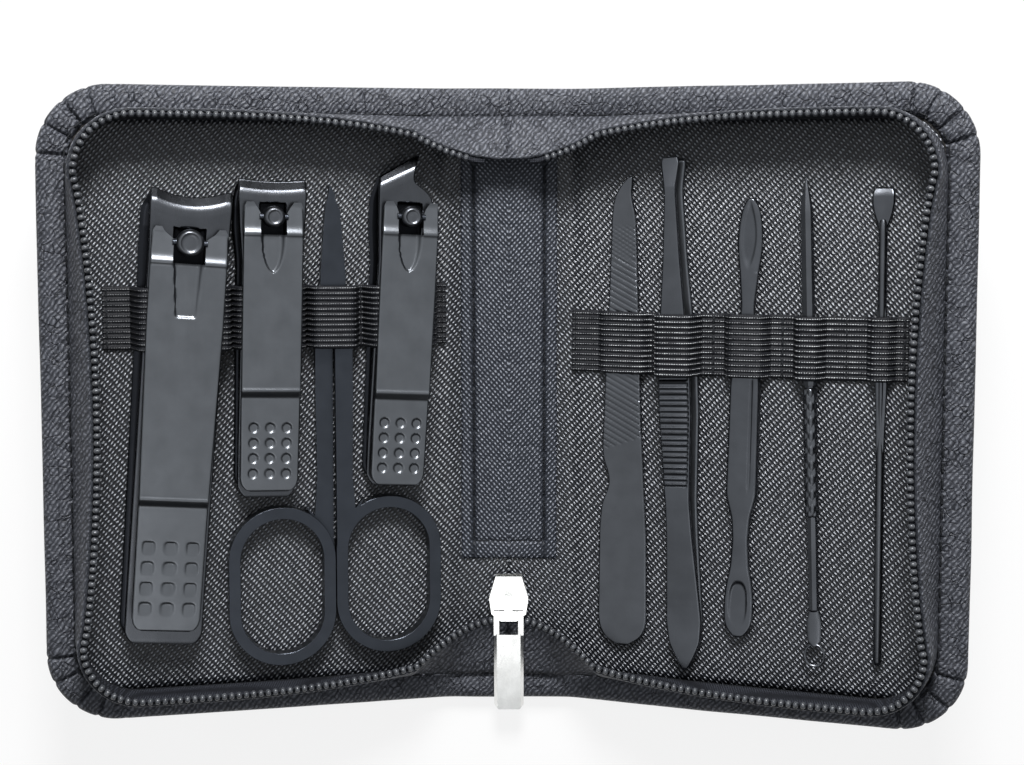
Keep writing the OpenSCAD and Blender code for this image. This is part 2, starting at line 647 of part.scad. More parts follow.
module cuticle_pusher() {
  h = pusher_t;
  half = [[0.6, 0], [1.7, -2], [2.25, -7.5], [1.7, -13], [1.15, -19], [1.7, -24],
    [2.7, -33], [2.75, -53], [1.7, -57], [1.45, -61], [1.7, -66], [2.7, -71], [2.7, -76],
    [1.8, -78.2], [0.6, -79]];
  side = [[0.4, 0.1], [0.45, -13], [0.75, -19], [0.9, -24], [h / 2, -33], [h / 2, -53],
    [0.85, -57], [0.8, -61], [0.6, -66], [0.45, -70], [0.4, -79.1]];
  color([0.1, 0.1, 0.11]) right_side() tool(pusher_at) intersection() {
    translate([0, 0, -1]) linear_extrude(height = 9)
      polygon(concat(half, [for (p = back(half)) [-p[0], p[1]]]));
    along_x(9) polygon(concat([for (p = side) [p[1], h / 2 + p[0]]],
      [for (p = back(side)) [p[1], h / 2 - p[0]]]));
  }
}

// Needle with a twisted grip; the far end is flattened and carries a wire loop.
grip_from = -37;
grip_to = -60;
module turned(profile) {
  rotate([90, 0, 0]) rotate_extrude() polygon(profile);
}
module needle_shaft() {
  color([0.2, 0.2, 0.21]) right_side() tool(needle_at) translate([0, 0, needle_r]) {
    turned([[0, 0.2], [0.12, 0.2], [1.15, 6], [1.2, 30], [1.15, 36.7], [0.8, 36.9], [0.8, 60.1],
      [1, 60.3], [0.95, 77.4], [0, 77.4]]);
    translate([0, 0, -0.3]) linear_extrude(height = 0.6)
      polygon([[-0.8, -77], [0.8, -77], [1.35, -79.5], [1.15, -82.6], [0.4, -83.2],
        [-0.4, -83.2], [-1.15, -82.6], [-1.35, -79.5]]);
    translate([0, -83 - loop_r, 0]) rotate_extrude() translate([loop_r, 0])
      circle(r = loop_wire, $fn = 16);
  }
}
module needle_grip() {
  color([0.12, 0.12, 0.13]) right_side() tool(needle_at) translate([0, grip_from, needle_r])
    rotate([90, 0, 0]) difference() {
      union() {
        cylinder(h = grip_from - grip_to, r = needle_r - 0.2);
        for (i = [0:15]) translate([0, 0, 0.5 + i * (grip_from - grip_to - 1.8) / 15])
          cylinder(h = 0.8, r = needle_r);
      }
      translate([0, 0, -1]) cylinder(h = grip_from - grip_to + 2, r = 0.82);
    }
}
module ear_pick() {
  z = pick_r + 0.03;
  color([0.16, 0.16, 0.17]) right_side() tool(pick_at) {
    translate([0, -6, z]) rotate([90, 0, 0]) cylinder(h = 78, r = pick_r);
    translate([0, 0, z - 0.55]) linear_extrude(height = 1.1)
      polygon([[-1, -22], [1, -22], [1.05, -34], [0.8, -46], [-0.8, -46], [-1.05, -34]]);
    difference() {
      translate([0, 0, 0]) linear_extrude(height = 1.3) {
        polygon([[-1.4, 0], [-1.8, -0.3], [-1.95, -1.2], [-1.9, -3], [-1.5, -4.8],
          [-0.75, -6.8], [-0.75, -7.2], [0.75, -7.2], [0.75, -6.8], [1.5, -4.8], [1.9, -3],
          [1.95, -1.2], [1.8, -0.3], [1.4, 0]]);
      }
      translate([0, -2.6, 6.8]) sphere(r = 5.9);
    }
  }
}

left_pockets = [
  [u_at(slant_at, elastic_left_v), slant[3] / 2 + 0.3, slant[9]],
  [scissor_at[0], 3.5, scissor_h + 0.7],
  [u_at(small_at, elastic_left_v), small[3] / 2 + 0.2, small[9]],
  [u_at(large_at, elastic_left_v), large[3] / 2 + 0.6, large[9]]];
right_pockets = [
  [u_at(file_at, elastic_right_v), 3.45, file_t],
  [u_at(tweezer_at, elastic_right_v), 3.3, 2 * tweezer_t + tweezer_gap],
  [u_at(pusher_at, elastic_right_v), 2.8, pusher_t],
  [u_at(needle_at, elastic_right_v), needle_r + 0.2, 2 * needle_r],
  [u_at(pick_at, elastic_right_v), 1.2, 2 * pick_r + 0.03]];

case_color = [0.06, 0.065, 0.075];
tape_color = [0.04, 0.04, 0.045];
steel = [0.1, 0.1, 0.11];
lever_steel = [0.25, 0.26, 0.28];
module left_skin() { color(case_color) left_side() cover_skin(); }
module left_board() { color([0.35, 0.33, 0.3]) left_side() cover_board(); }
module left_lining() { color([0.03, 0.03, 0.035]) left_side() cover_lining(); }
module left_roll() { color(case_color) left_side() cover_roll(); }
module left_wall() { color(case_color) left_side() cover_wall(); }
module left_tape() { color(tape_color) left_side() cover_tape(); }
module left_teeth() { color([0.16, 0.17, 0.18]) left_side() cover_teeth(); }
module left_elastic() { color(tape_color) left_side() band(left_pockets, 1.95, 62.5, elastic_left_v); }
module right_skin() { color(case_color) right_side() cover_skin(); }
module right_board() { color([0.35, 0.33, 0.3]) right_side() cover_board(); }
module right_lining() { color([0.03, 0.03, 0.035]) right_side() cover_lining(); }
module right_roll() { color(case_color) right_side() cover_roll(); }
module right_wall() { color(case_color) right_side() cover_wall(); }
module right_tape() { color(tape_color) right_side() cover_tape(); }
module right_teeth() { color([0.16, 0.17, 0.18]) right_side() cover_teeth(); }
module right_elastic() {
  color(tape_color) right_side() band(right_pockets, 4.2, 62.3, elastic_right_v);
}
module large_lower_arm() { color(steel) left_side() clipper_at(large_at, large) lower_arm(large); }
module large_upper_arm() { color(steel) left_side() clipper_at(large_at, large) upper_arm(large); }
module large_post() { color([0.3, 0.3, 0.32]) left_side() clipper_at(large_at, large) post(large); }
module large_lever() { color(lever_steel) left_side() clipper_at(large_at, large) lever(large); }
module small_lower_arm() { color(steel) left_side() clipper_at(small_at, small) lower_arm(small); }
module small_upper_arm() { color(steel) left_side() clipper_at(small_at, small) upper_arm(small); }
module small_post() { color([0.3, 0.3, 0.32]) left_side() clipper_at(small_at, small) post(small); }
module small_lever() { color(lever_steel) left_side() clipper_at(small_at, small) lever(small); }
module slant_lower_arm() { color(steel) left_side() clipper_at(slant_at, slant) lower_arm(slant); }
module slant_upper_arm() { color(steel) left_side() clipper_at(slant_at, slant) upper_arm(slant); }
module slant_post() { color([0.3, 0.3, 0.32]) left_side() clipper_at(slant_at, slant) post(slant); }
module slant_lever() { color(lever_steel) left_side() clipper_at(slant_at, slant) lever(slant); }

spine_skin();
spine_board();
spine_lining();
spine_strip();
spine_rolls();
top_bridge();
bottom_bridge();
lead_teeth();
left_skin();
left_board();
left_lining();
left_roll();
left_wall();
left_tape();
left_teeth();
left_elastic();
right_skin();
right_board();
right_lining();
right_roll();
right_wall();
right_tape();
right_teeth();
right_elastic();
zipper_slider();
zipper_pull();
large_lower_arm();
large_upper_arm();
large_post();
large_lever();
small_lower_arm();
small_upper_arm();
small_post();
small_lever();
slant_lower_arm();
slant_upper_arm();
slant_post();
slant_lever();
scissor_lower_half();
scissor_upper_half();
scissor_screw();
nail_file();
tweezer_lower_arm();
tweezer_upper_arm();
cuticle_pusher();
needle_shaft();
needle_grip();
ear_pick();
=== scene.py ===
import bpy, bmesh, math, json
import numpy as np
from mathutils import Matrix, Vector, noise

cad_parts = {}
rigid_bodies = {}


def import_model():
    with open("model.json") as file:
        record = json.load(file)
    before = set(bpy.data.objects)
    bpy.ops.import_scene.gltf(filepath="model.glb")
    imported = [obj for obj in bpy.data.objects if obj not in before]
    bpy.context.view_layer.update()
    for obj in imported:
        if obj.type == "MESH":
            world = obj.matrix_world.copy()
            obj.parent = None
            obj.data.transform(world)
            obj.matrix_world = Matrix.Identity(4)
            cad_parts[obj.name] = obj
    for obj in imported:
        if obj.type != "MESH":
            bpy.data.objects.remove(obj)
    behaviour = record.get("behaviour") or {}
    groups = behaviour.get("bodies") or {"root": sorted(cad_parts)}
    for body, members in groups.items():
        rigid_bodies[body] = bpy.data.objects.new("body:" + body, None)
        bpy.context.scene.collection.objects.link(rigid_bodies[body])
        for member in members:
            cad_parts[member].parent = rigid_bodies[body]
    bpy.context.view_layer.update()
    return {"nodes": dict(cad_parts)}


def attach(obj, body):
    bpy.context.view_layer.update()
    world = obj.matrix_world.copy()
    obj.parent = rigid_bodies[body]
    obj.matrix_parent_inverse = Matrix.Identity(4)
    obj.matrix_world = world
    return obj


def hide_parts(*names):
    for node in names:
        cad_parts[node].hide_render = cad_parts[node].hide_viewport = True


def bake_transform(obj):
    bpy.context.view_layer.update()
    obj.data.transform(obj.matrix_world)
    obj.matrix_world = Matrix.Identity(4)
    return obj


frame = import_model()
MM = 0.001

# Sizes, in mm and degrees; side -1 is the clippers' cover, 1 the file's cover
NAME = {-1: "left", 1: "right"}
RAISED = {-1: 15.0, 1: 20.0}
HINGE_X, HINGE_Z = 11.5, 1.5
HALF, COVER_W, CORNER_R = 57.0, 73.5, 13.0
COVER_END = HINGE_X + COVER_W
TRAY_TOP, FLOOR, RIM = 2.8, 3.0, 12.7
WALL_IN, WALL_T, TOOTH_H = 5.1, 0.8, 1.2
WALL_V, WALL_U, WALL_R = HALF - WALL_IN, COVER_W - WALL_IN, CORNER_R - WALL_IN + 3
WALL_TOP = RIM - TOOTH_H
WALL_START = 8.0
LEAN_SIDE, LEAN_END, LEAN_SPINE = 4.0, 0.8, 3.5
STRIP_LINE, STRIP_PITCH = 6.5, 4.1
BAND_W, BAND_RIBS = 11.3, 12
BAND_V = {-1: 15.8, 1: 10.8}
# half the length over which the shell bends at the hinge, and the step of its table
BEND, STEP = 2.5, 0.05


def tray(side, u, v, w):
    """Tray coordinates (u outward from the hinge, v along the spine, w up) to the frame, in mm."""
    a = math.radians(RAISED[side])
    return (side * (HINGE_X + u * math.cos(a) - (w - HINGE_Z) * math.sin(a)), v,
            HINGE_Z + u * math.sin(a) + (w - HINGE_Z) * math.cos(a))


def upward(side):
    """The direction square to a cover's tray."""
    a = math.radians(RAISED[side])
    return (-side * math.sin(a), 0, math.cos(a))


def bend_table(side):
    """Points and slopes of the shell's middle line, from the spine's centre outward."""
    x, z, out = 0.0, HINGE_Z, []
    for i in range(int(100 / STEP)):
        t = min(max((i * STEP - HINGE_X + BEND) / (2 * BEND), 0), 1)
        phi = math.radians(RAISED[side]) * t * t * (3 - 2 * t)
        out.append((x, z, phi))
        x += STEP * math.cos(phi)
        z += STEP * math.sin(phi)
    return out


TABLE = {side: bend_table(side) for side in NAME}


def soft(side, s, v, w):
    """Like tray, but s runs from the spine's centre and the shell bends smoothly at the hinge."""
    f = max(0.0, s) / STEP
    i = int(f)
    x, z, p = lerp(TABLE[side][i], TABLE[side][i + 1], f - i)
    if s < 0:
        x = s
    return (side * (x - (w - HINGE_Z) * math.sin(p)), v, z + (w - HINGE_Z) * math.cos(p))


# Curves and lines
def lerp(a, b, t):
    return tuple(x + (y - x) * t for x, y in zip(a, b))


def bowed(a, b, c, t):
    return lerp(lerp(a, b, t), lerp(b, c, t), t)


def smooth(a, b, x):
    t = min(1.0, max(0.0, (x - a) / (b - a)))
    return t * t * (3 - 2 * t)


def bell(x, width):
    """1 at x = 0, falling off smoothly over the width."""
    return math.exp(-(x / width) ** 2)


def ripple(x, y, z, f, seed=0.0):
    """Smooth noise about 0 with f waves to the mm."""
    return noise.noise(Vector((x * f + seed, y * f - seed, z * f + 3.1 * seed)))


def steps(a, b, step):
    n = max(2, int(abs(b - a) / step))
    return [a + (b - a) * i / n for i in range(n + 1)]


def circle(n, turn=0.0):
    """n angles once round, turned by a share of one step."""
    return [2 * math.pi * (i + turn) / n for i in range(n)]


def arclen(pts):
    out = [0.0]
    for a, b in zip(pts, pts[1:]):
        out.append(out[-1] + math.dist(a, b))
    return out


def sample(pts, cum, s):
    """Point and unit direction at distance s."""
    i = int(np.searchsorted(cum, s)) - 1
    i = max(0, min(i, len(pts) - 2))
    f = (s - cum[i]) / max(1e-9, cum[i + 1] - cum[i])
    return lerp(pts[i], pts[i + 1], f), (Vector(pts[i + 1]) - Vector(pts[i])).normalized()


def three_sides(start, width, half, r, n_end, n_arc, n_side):
    """Stations round three sides of a cover: (u, v, inward u, inward v, part, share of the part).

    The numbers of steps are for each end, corner arc and the side.
    """
    first, side = [], []
    for i in range(n_end + 1):
        t = i / n_end
        first.append((start + (width - r - start) * t, half, 0, -1, "end", t))
    for i in range(1, n_arc):
        t = i / n_arc
        a = math.radians(90 * (1 - t))
        c, s = math.cos(a), math.sin(a)
        first.append((width - r + r * c, half - r + r * s, -c, -s, "arc", t))
    for i in range(n_side + 1):
        t = i / n_side
        side.append((width, (half - r) * (1 - 2 * t), -1, 0, "side", t))
    last = [(u, -v, iu, -iv, part, t) for u, v, iu, iv, part, t in reversed(first)]
    return first + side + last


# Meshes
def make(name, mesh, mats, body=None, face_mats=None):
    """An object from (vertices in mm, faces), with one material or a list of them."""
    me = bpy.data.meshes.new(name)
    me.from_pydata([(x * MM, y * MM, z * MM) for x, y, z in mesh[0]], [], mesh[1])
    bm = bmesh.new()
    bm.from_mesh(me)
    bmesh.ops.recalc_face_normals(bm, faces=bm.faces)
    bm.to_mesh(me)
    bm.free()
    me.validate()
    me.polygons.foreach_set("use_smooth", [True] * len(me.polygons))
    o = bpy.data.objects.new(name, me)
    bpy.context.scene.collection.objects.link(o)
    for m in mats if isinstance(mats, list) else [mats]:
        me.materials.append(m)
    if face_mats:
        me.polygons.foreach_set("material_index", face_mats)
    if body:
        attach(o, body)
    return o


def rings_mesh(rings, closed_on_itself=False):
    """Faces over rings of equal length, capped at both ends unless the last ring meets the first."""
    n, m = len(rings), len(rings[0])
    verts = [p for r in rings for p in r]
    faces = []
    for i in range(n if closed_on_itself else n - 1):
        k = (i + 1) % n
        for j in range(m):
            nxt = (j + 1) % m
            faces.append((i * m + j, i * m + nxt, k * m + nxt, k * m + j))
    if not closed_on_itself:
        faces.append(tuple(range(m - 1, -1, -1)))
        faces.append(tuple((n - 1) * m + j for j in range(m)))
    return verts, faces


def sheet(top, bottom, kept):
    """A closed thin solid between two grids of the same size, without the cells that aren't kept."""
    n, m = len(top), len(top[0])
    o = n * m
    cells = {(i, j) for i in range(n - 1) for j in range(m - 1) if kept(i, j)}
    faces = []
    for i, j in sorted(cells):
        a, b, c, d = i * m + j, i * m + j + 1, (i + 1) * m + j + 1, (i + 1) * m + j
        faces.append((a, b, c, d))
        faces.append((o + d, o + c, o + b, o + a))
    for i, j in sorted(cells):
        a, b, c, d = i * m + j, i * m + j + 1, (i + 1) * m + j + 1, (i + 1) * m + j
        for near, p, q in (((i - 1, j), b, a), ((i + 1, j), d, c), ((i, j - 1), a, d), ((i, j + 1), c, b)):
            if near not in cells:
                faces.append((p, q, o + q, o + p))
    return [p for r in top for p in r] + [p for r in bottom for p in r], faces


def surface(grid, kept=lambda i, j: True):
    """The thin solid of a grid whose entries are pairs of an upper and a lower point."""
    return sheet(*([[pair[k] for pair in row] for row in grid] for k in (0, 1)), kept)


def merge(parts):
    verts, faces = [], []
    for v, f in parts:
        o = len(verts)
        verts += list(v)
        faces += [tuple(i + o for i in t) for t in f]
    return verts, faces


def bevel(o, width, segments=2):
    m = o.modifiers.new("edge", "BEVEL")
    m.width = width * MM
    m.segments = segments
    m.limit_method = "ANGLE"
    m.angle_limit = math.radians(35)
    m.harden_normals = True


def sharp_edges(o, angle):
    bm = bmesh.new()
    bm.from_mesh(o.data)
    bmesh.ops.delete(bm, geom=[v for v in bm.verts if not v.link_faces], context="VERTS")
    for e in bm.edges:
        if len(e.link_faces) == 2 and e.calc_face_angle(0) > math.radians(angle):
            e.smooth = False
    bm.to_mesh(o.data)
    bm.free()


def capsule(p, d, length, r, up=(0, 0, 1), sides=6, flat=0.7):
    """A short stitch: a six-sided spindle at p along d."""
    d = Vector(d).normalized()
    a = d.cross(Vector(up)).normalized()
    b = a.cross(d).normalized()
    rings = []
    for t, k in ((-0.5, 0.35), (-0.3, 1.0), (0.3, 1.0), (0.5, 0.35)):
        c = Vector(p) + d * (t * length)
        rings.append([tuple(c + a * (r * k * math.cos(q)) + b * (r * k * flat * math.sin(q)))
                      for q in circle(sides)])
    return rings_mesh(rings)


# Node trees
class Tree:
    """A small builder: a node takes its settings and, by name, plain values and links for its inputs."""

    def __init__(self, tree):
        self.t = tree

    def node(self, kind, values=(), links=(), **settings):
        n = self.t.nodes.new(kind)
        for k, v in settings.items():
            setattr(n, k, v)
        for k, v in dict(values).items():
            n.inputs[k].default_value = v
        for k, socket in dict(links).items():
            self.link(socket, n.inputs[k])
        return n

    def link(self, a, b):
        self.t.links.new(a, b)

    def math(self, op, *args, clamp=False):
        n = self.node("ShaderNodeMath", operation=op, use_clamp=clamp)
        for i, x in enumerate(args):
            if isinstance(x, (int, float)):
                n.inputs[i].default_value = x
            else:
                self.link(x, n.inputs[i])
        return n.outputs[0]

    def ramp(self, fac, stops):
        """Colours over fac; stops are (position, colour)."""
        n = self.node("ShaderNodeValToRGB", links={"Fac": fac})
        e = n.color_ramp.elements
        for k, (pos, color) in enumerate(stops):
            stop = e[k] if k < 2 else e.new(pos)
            stop.position, stop.color = pos, (*color, 1)
        return n.outputs["Color"]


# Materials
class Mat(Tree):
    """A material in object coordinates (metres), with lengths given in mm."""

    def __init__(self, name, color, rough, metallic=0.0, coat=0.0, spec=0.5):
        self.m = bpy.data.materials.new(name)
        self.m.use_nodes = True
        super().__init__(self.m.node_tree)
        self.b = self.t.nodes["Principled BSDF"]
        for socket, value in (("Base Color", (*color, 1)), ("Roughness", rough), ("Metallic", metallic),
                              ("Coat Weight", coat), ("Coat Roughness", 0.1), ("IOR", 1.5),
                              ("Specular IOR Level", spec)):
            self.b.inputs[socket].default_value = value
        self.co = self.node("ShaderNodeTexCoord").outputs["Object"]
        self.normal = None

    def mapped(self, turn=0, scale=(1, 1, 1)):
        n = self.node("ShaderNodeMapping", {"Rotation": (0, 0, math.radians(turn)), "Scale": scale},
                      {"Vector": self.co})
        return n.outputs["Vector"]

    def xyz(self):
        return self.node("ShaderNodeSeparateXYZ", links={0: self.co}).outputs

    def add(self, a, b):
        return self.math("ADD", a, b)

    def sub(self, a, b, clamp=False):
        return self.math("SUBTRACT", a, b, clamp=clamp)

    def mul(self, a, b, clamp=False):
        return self.math("MULTIPLY", a, b, clamp=clamp)

    def mad(self, a, b, c, clamp=False):
        """a times b plus c."""
        return self.math("MULTIPLY_ADD", a, b, c, clamp=clamp)

    def wave(self, pitch, turn=0, distort=0.0, axis="X", detail=2.0):
        """Bands of the given pitch, 0..1."""
        values = {"Scale": 2 * math.pi / 20 / (pitch * MM), "Distortion": distort, "Detail": 1,
                  "Detail Scale": detail}
        n = self.node("ShaderNodeTexWave", values, {"Vector": self.mapped(turn)},
                      wave_type="BANDS", bands_direction=axis, wave_profile="SIN")
        return n.outputs["Fac"]

    def noise(self, size, detail=3, rough=0.5, scale=(1, 1, 1)):
        values = {"Scale": 1 / (size * MM), "Detail": detail, "Roughness": rough}
        n = self.node("ShaderNodeTexNoise", values, {"Vector": self.mapped(scale=scale)})
        return n.outputs["Fac"]

    def cells(self, size, feature):
        values = {"Scale": 1 / (size * MM), "Randomness": 1.0}
        n = self.node("ShaderNodeTexVoronoi", values, {"Vector": self.mapped()}, feature=feature)
        return n.outputs["Distance"]

    def bump(self, height, distance, strength=1.0):
        links = {"Height": height}
        if self.normal is not None:
            links["Normal"] = self.normal
        n = self.node("ShaderNodeBump", {"Distance": distance * MM, "Strength": strength}, links)
        self.normal = n.outputs["Normal"]
        self.link(self.normal, self.b.inputs["Normal"])

    def color(self, fac, *stops):
        self.link(self.ramp(fac, stops), self.b.inputs["Base Color"])

    def rough(self, fac, low, high):
        n = self.node("ShaderNodeMapRange", {"To Min": low, "To Max": high}, {"Value": fac})
        self.link(n.outputs["Result"], self.b.inputs["Roughness"])


def saffiano(name, dark, light, painted_highlight, rough, depth, pitch, cross, along=1, spec=0.2, seam=None):
    """Slanted ridges crossed by others: bright dashes where they meet, a painted highlight in the base
    colour.

    along is the way the ridges run, 1 or -1. With a seam they form a chevron about x = 0, with painted shade
    along the seam.
    """
    m = Mat(name, dark, rough, spec=spec)
    if seam:
        p = m.xyz()
        away = m.math("ABSOLUTE", p["X"])
        m.co = m.node("ShaderNodeCombineXYZ", links={"X": away, "Y": p["Y"], "Z": p["Z"]}).outputs[0]
    ridges = m.wave(pitch, 43 * along, 1.0, detail=3.0)
    others = m.wave(cross, -41 * along, 1.4, detail=3.0)
    g = m.mul(ridges, m.mad(others, 0.72, 0.28))
    m.bump(m.noise(6, 2), 0.3, 0.4)
    m.bump(m.add(g, m.mul(m.noise(0.16), 0.45)), depth)
    f = m.mul(g, m.add(m.noise(0.8), 0.5))
    # painted shade: the colour darkens within 0.75 mm of the seam, where the stitched groove runs
    if seam:
        off_seam = m.math("ABSOLUTE", m.sub(away, seam * MM))
        k = m.sub(1.0, m.mul(off_seam, 1 / (0.75 * MM)), clamp=True)
        f = m.mul(f, m.mad(k, -0.85, 1.0))
    # painted highlight: where the ridges cross, the colour rises to the brightest stop
    m.color(f, (0.1, dark), (0.55, light), (0.84, painted_highlight))
    m.rough(m.noise(3), rough - 0.07, rough + 0.09)
    return m.m


def leather(name, dark, mid, light, rough):
    """Soft grained skin: short slanted wrinkles, broken by fine creases that are painted darker as shade."""
    m = Mat(name, dark, rough, spec=0.25)
    a = m.wave(0.74, 40, 4.5, detail=1.3)
    b = m.wave(0.98, -44, 5.0, detail=1.1)
    g = m.mul(a, m.mad(b, 0.6, 0.4))
    crease = m.sub(1.0, m.mul(m.cells(1.5, "DISTANCE_TO_EDGE"), 11.0), clamp=True)
    broken = m.mul(crease, m.mad(m.noise(2.6, 2), 2.4, -0.6, clamp=True))
    m.bump(m.noise(5, 2), 0.5, 0.5)
    m.bump(m.sub(m.add(g, m.mul(m.noise(0.2), 0.5)), m.mul(broken, 0.9)), 0.14)
    f = m.mul(m.mad(g, 0.7, 0.25), m.mad(m.noise(1.1, 4, 0.6), 1.3, 0.35))
    # painted shade: the colour darkens in the creases
    f = m.mul(f, m.mad(broken, -0.8, 1.0), clamp=True)
    m.color(f, (0.08, dark), (0.42, mid), (0.85, light))
    m.rough(m.noise(3), rough - 0.07, rough + 0.09)
    return m.m


def wall_material():
    m = Mat("soft_wall", (0.02, 0.022, 0.028), 0.55, spec=0.2)
    g = m.cells(0.45, "F1")
    m.bump(m.noise(3.0), 0.6, 0.6)
    m.bump(m.add(g, m.mul(m.noise(0.2, 2), 0.4)), 0.1)
    f = m.add(m.mul(g, 0.5), m.mul(m.noise(1.5, 4), 0.6))
    m.color(f, (0.3, (0.004, 0.005, 0.007)), (0.7, (0.034, 0.037, 0.045)))
    m.rough(m.noise(2), 0.5, 0.65)
    return m.m


def elastic_material(name, v_mid, bright):
    """Dark rubber ribs with pale dashes along their crests, a painted highlight."""
    m = Mat(name, (0.01, 0.011, 0.013), 0.6, spec=0.2)
    t = m.mul(m.sub(m.xyz()["Y"], (v_mid - BAND_W / 2) * MM), BAND_RIBS / (BAND_W * MM))
    off_crest = m.math("ABSOLUTE", m.sub(m.math("FRACT", t), 0.5))
    line = m.sub(1.0, m.mul(off_crest, 8.5), clamp=True)
    dash = m.wave(0.42, 0, 1.5, detail=3.0)
    k = m.mul(line, m.mul(m.add(dash, 0.35), m.mul(m.noise(1.8), 1.5)), clamp=True)
    fine = m.noise(0.12)
    # painted highlight: the crest lines and their dashes take the pale colour
    m.color(m.add(k, m.mul(fine, 0.25)), (0.12, (0.008, 0.0085, 0.011)),
            (0.9, (bright, bright * 1.02, bright * 1.05)), (0.38, (0.022, 0.024, 0.028)))
    m.bump(m.add(m.mul(dash, 0.5), fine), 0.06, 0.9)
    return m.m


def woven(name, dark, light, pitch, rough=0.75):
    m = Mat(name, dark, rough, spec=0.2)
    w = m.mul(m.wave(pitch, 0, 0.3), m.wave(pitch, 0, 0.3, "Y"))
    m.bump(m.add(w, m.mul(m.noise(0.1), 0.5)), 0.08)
    m.color(m.add(w, m.mul(m.noise(0.5), 0.5)), (0.2, dark), (1.0, light))
    return m.m


def metal(name, color, rough, scratch):
    m = Mat(name, color, rough, metallic=1.0)
    dim, bright = [c * 0.9 for c in color], [min(1, c * 1.07) for c in color]
    m.color(m.noise(4, 4), (0.3, dim), (0.7, bright))
    m.rough(m.noise(1.2, 4, 0.6, (1, 0.12, 1)), max(0.04, rough - 0.05), rough + 0.07)
    m.bump(m.noise(0.25, 3, 0.6, (1, 0.1, 1)), scratch, 0.5)
    m.bump(m.noise(11, 1), 0.1, 0.2)
    return m.m


def nylon():
    m = Mat("zipper_coil", (0.05, 0.054, 0.062), 0.32, coat=0.2)
    m.color(m.noise(0.8), (0.3, (0.035, 0.038, 0.044)), (0.7, (0.085, 0.09, 0.1)))
    m.bump(m.noise(0.15, 2), 0.02, 0.6)
    m.rough(m.noise(0.5, 2), 0.27, 0.42)
    return m.m


SHELL = leather("grained_shell", (0.01, 0.011, 0.0145), (0.05, 0.053, 0.064), (0.15, 0.157, 0.18), 0.46)
LINING = {side: saffiano(NAME[side] + "_glossy_lining", (0.003, 0.0035, 0.005), (0.042, 0.045, 0.055),
                         (0.42, 0.44, 0.48), rough=0.32, depth=0.15, pitch=0.6, cross=0.98, along=-side,
                         spec=0.42)
          for side in NAME}
STRIP = saffiano("padded_strip", (0.012, 0.014, 0.019), (0.06, 0.067, 0.084), (0.26, 0.275, 0.315),
                 rough=0.45, depth=0.12, pitch=0.66, cross=0.8, seam=STRIP_LINE)
WALL = wall_material()
TAPE = woven("zipper_tape", (0.005, 0.0055, 0.008), (0.03, 0.033, 0.042), pitch=0.42)
THREAD = woven("thread", (0.006, 0.0065, 0.008), (0.035, 0.038, 0.045), pitch=0.2, rough=0.6)
BOARD = woven("stiff_board", (0.02, 0.019, 0.018), (0.045, 0.042, 0.04), pitch=0.8, rough=0.85)
# painted highlight: the crests are paler on the file cover than on the clipper cover, a lit and a shaded copy
# of one band
ELASTIC = {side: elastic_material(NAME[side] + "_elastic_ribs", BAND_V[side], bright)
           for side, bright in ((-1, 0.26), (1, 0.58))}
COIL = nylon()
# metals: colour, roughness and depth of the scratches in mm
STEEL = metal("dark_steel", (0.1, 0.105, 0.116), 0.3, 0.012)
ARM = metal("arm_steel", (0.075, 0.079, 0.088), 0.26, 0.004)
# painted shade: a near-black copy of the arm steel for the lower arms, which lie in shade
PAINTED_SHADE_LOWER_STEEL = metal("lower_arm_painted_shade_steel", (0.022, 0.0235, 0.028), 0.24, 0.006)
# painted shade: a near-black steel for the faces of the slot's pit under each lever
PIT = metal("shaded_slot", (0.008, 0.0085, 0.01), 0.4, 0.006)
LEVER = metal("lever_steel", (0.125, 0.132, 0.144), 0.3, 0.012)
TOOL = metal("tool_steel", (0.092, 0.097, 0.108), 0.28, 0.01)
# painted light: a brighter copy of the tool steel, so the tweezers' lower blade looks lit
PAINTED_LIGHT_STEEL = metal("lower_blade_painted_light_steel", (0.12, 0.127, 0.14), 0.32, 0.01)
RING = metal("satin_steel", (0.045, 0.05, 0.06), 0.33, 0.012)
CHROME = metal("bright_plate", (0.94, 0.94, 0.92), 0.2, 0.008)


# Paths of the wall
LEAN = {
    "end": lambda t: -LEAN_END + (LEAN_END + LEAN_SPINE) * (1 - t) ** 3,
    "arc": lambda t: -LEAN_END * (1 - t),
    "side": lambda t: LEAN_SIDE * max(0.0, math.sin(math.pi * t)) ** 0.7,
}
STATIONS = [(u, v, iu, iv, LEAN[part](t))
            for u, v, iu, iv, part, t in three_sides(WALL_START, WALL_U, WALL_V, WALL_R, 26, 12, 44)]
# the soft bridges' middles, at foot and rim, over the top and the bottom end of the spine
BOTTOM_Y = -41.8
BRIDGE_MID = {1: ((0, WALL_V, 1.6), (0, WALL_V - 12.8, 5)),
              -1: ((0, -WALL_V, 1.6), (0, BOTTOM_Y * 2 + WALL_V - LEAN_SPINE + 1.2, -0.7))}


def wall_uvw(station, w, d):
    """A wall's point in tray coordinates at height w, d inward from its outer face."""
    u, v, iu, iv, lean = station
    inward = d + lean * max(0.0, (w - TRAY_TOP) / (RIM - TRAY_TOP)) ** 1.4
    return u + iu * inward, v + iv * inward, w


def bridge_pos(end, t, q, d):
    """A point of a soft bridge: t 0 left to 1 right; q foot to rim; d inward from the outer face."""
    k = STATIONS[0] if end > 0 else STATIONS[-1]
    foot, rim = (bowed(tray(-1, *wall_uvw(k, w, WALL_T / 2)), mid, tray(1, *wall_uvw(k, w, WALL_T / 2)), t)
                 for w, mid in zip((TRAY_TOP + 0.1, WALL_TOP - 0.4), BRIDGE_MID[end]))
    x, y, z = lerp(foot, rim, q)
    return (x, y - end * (d - WALL_T / 2), z)


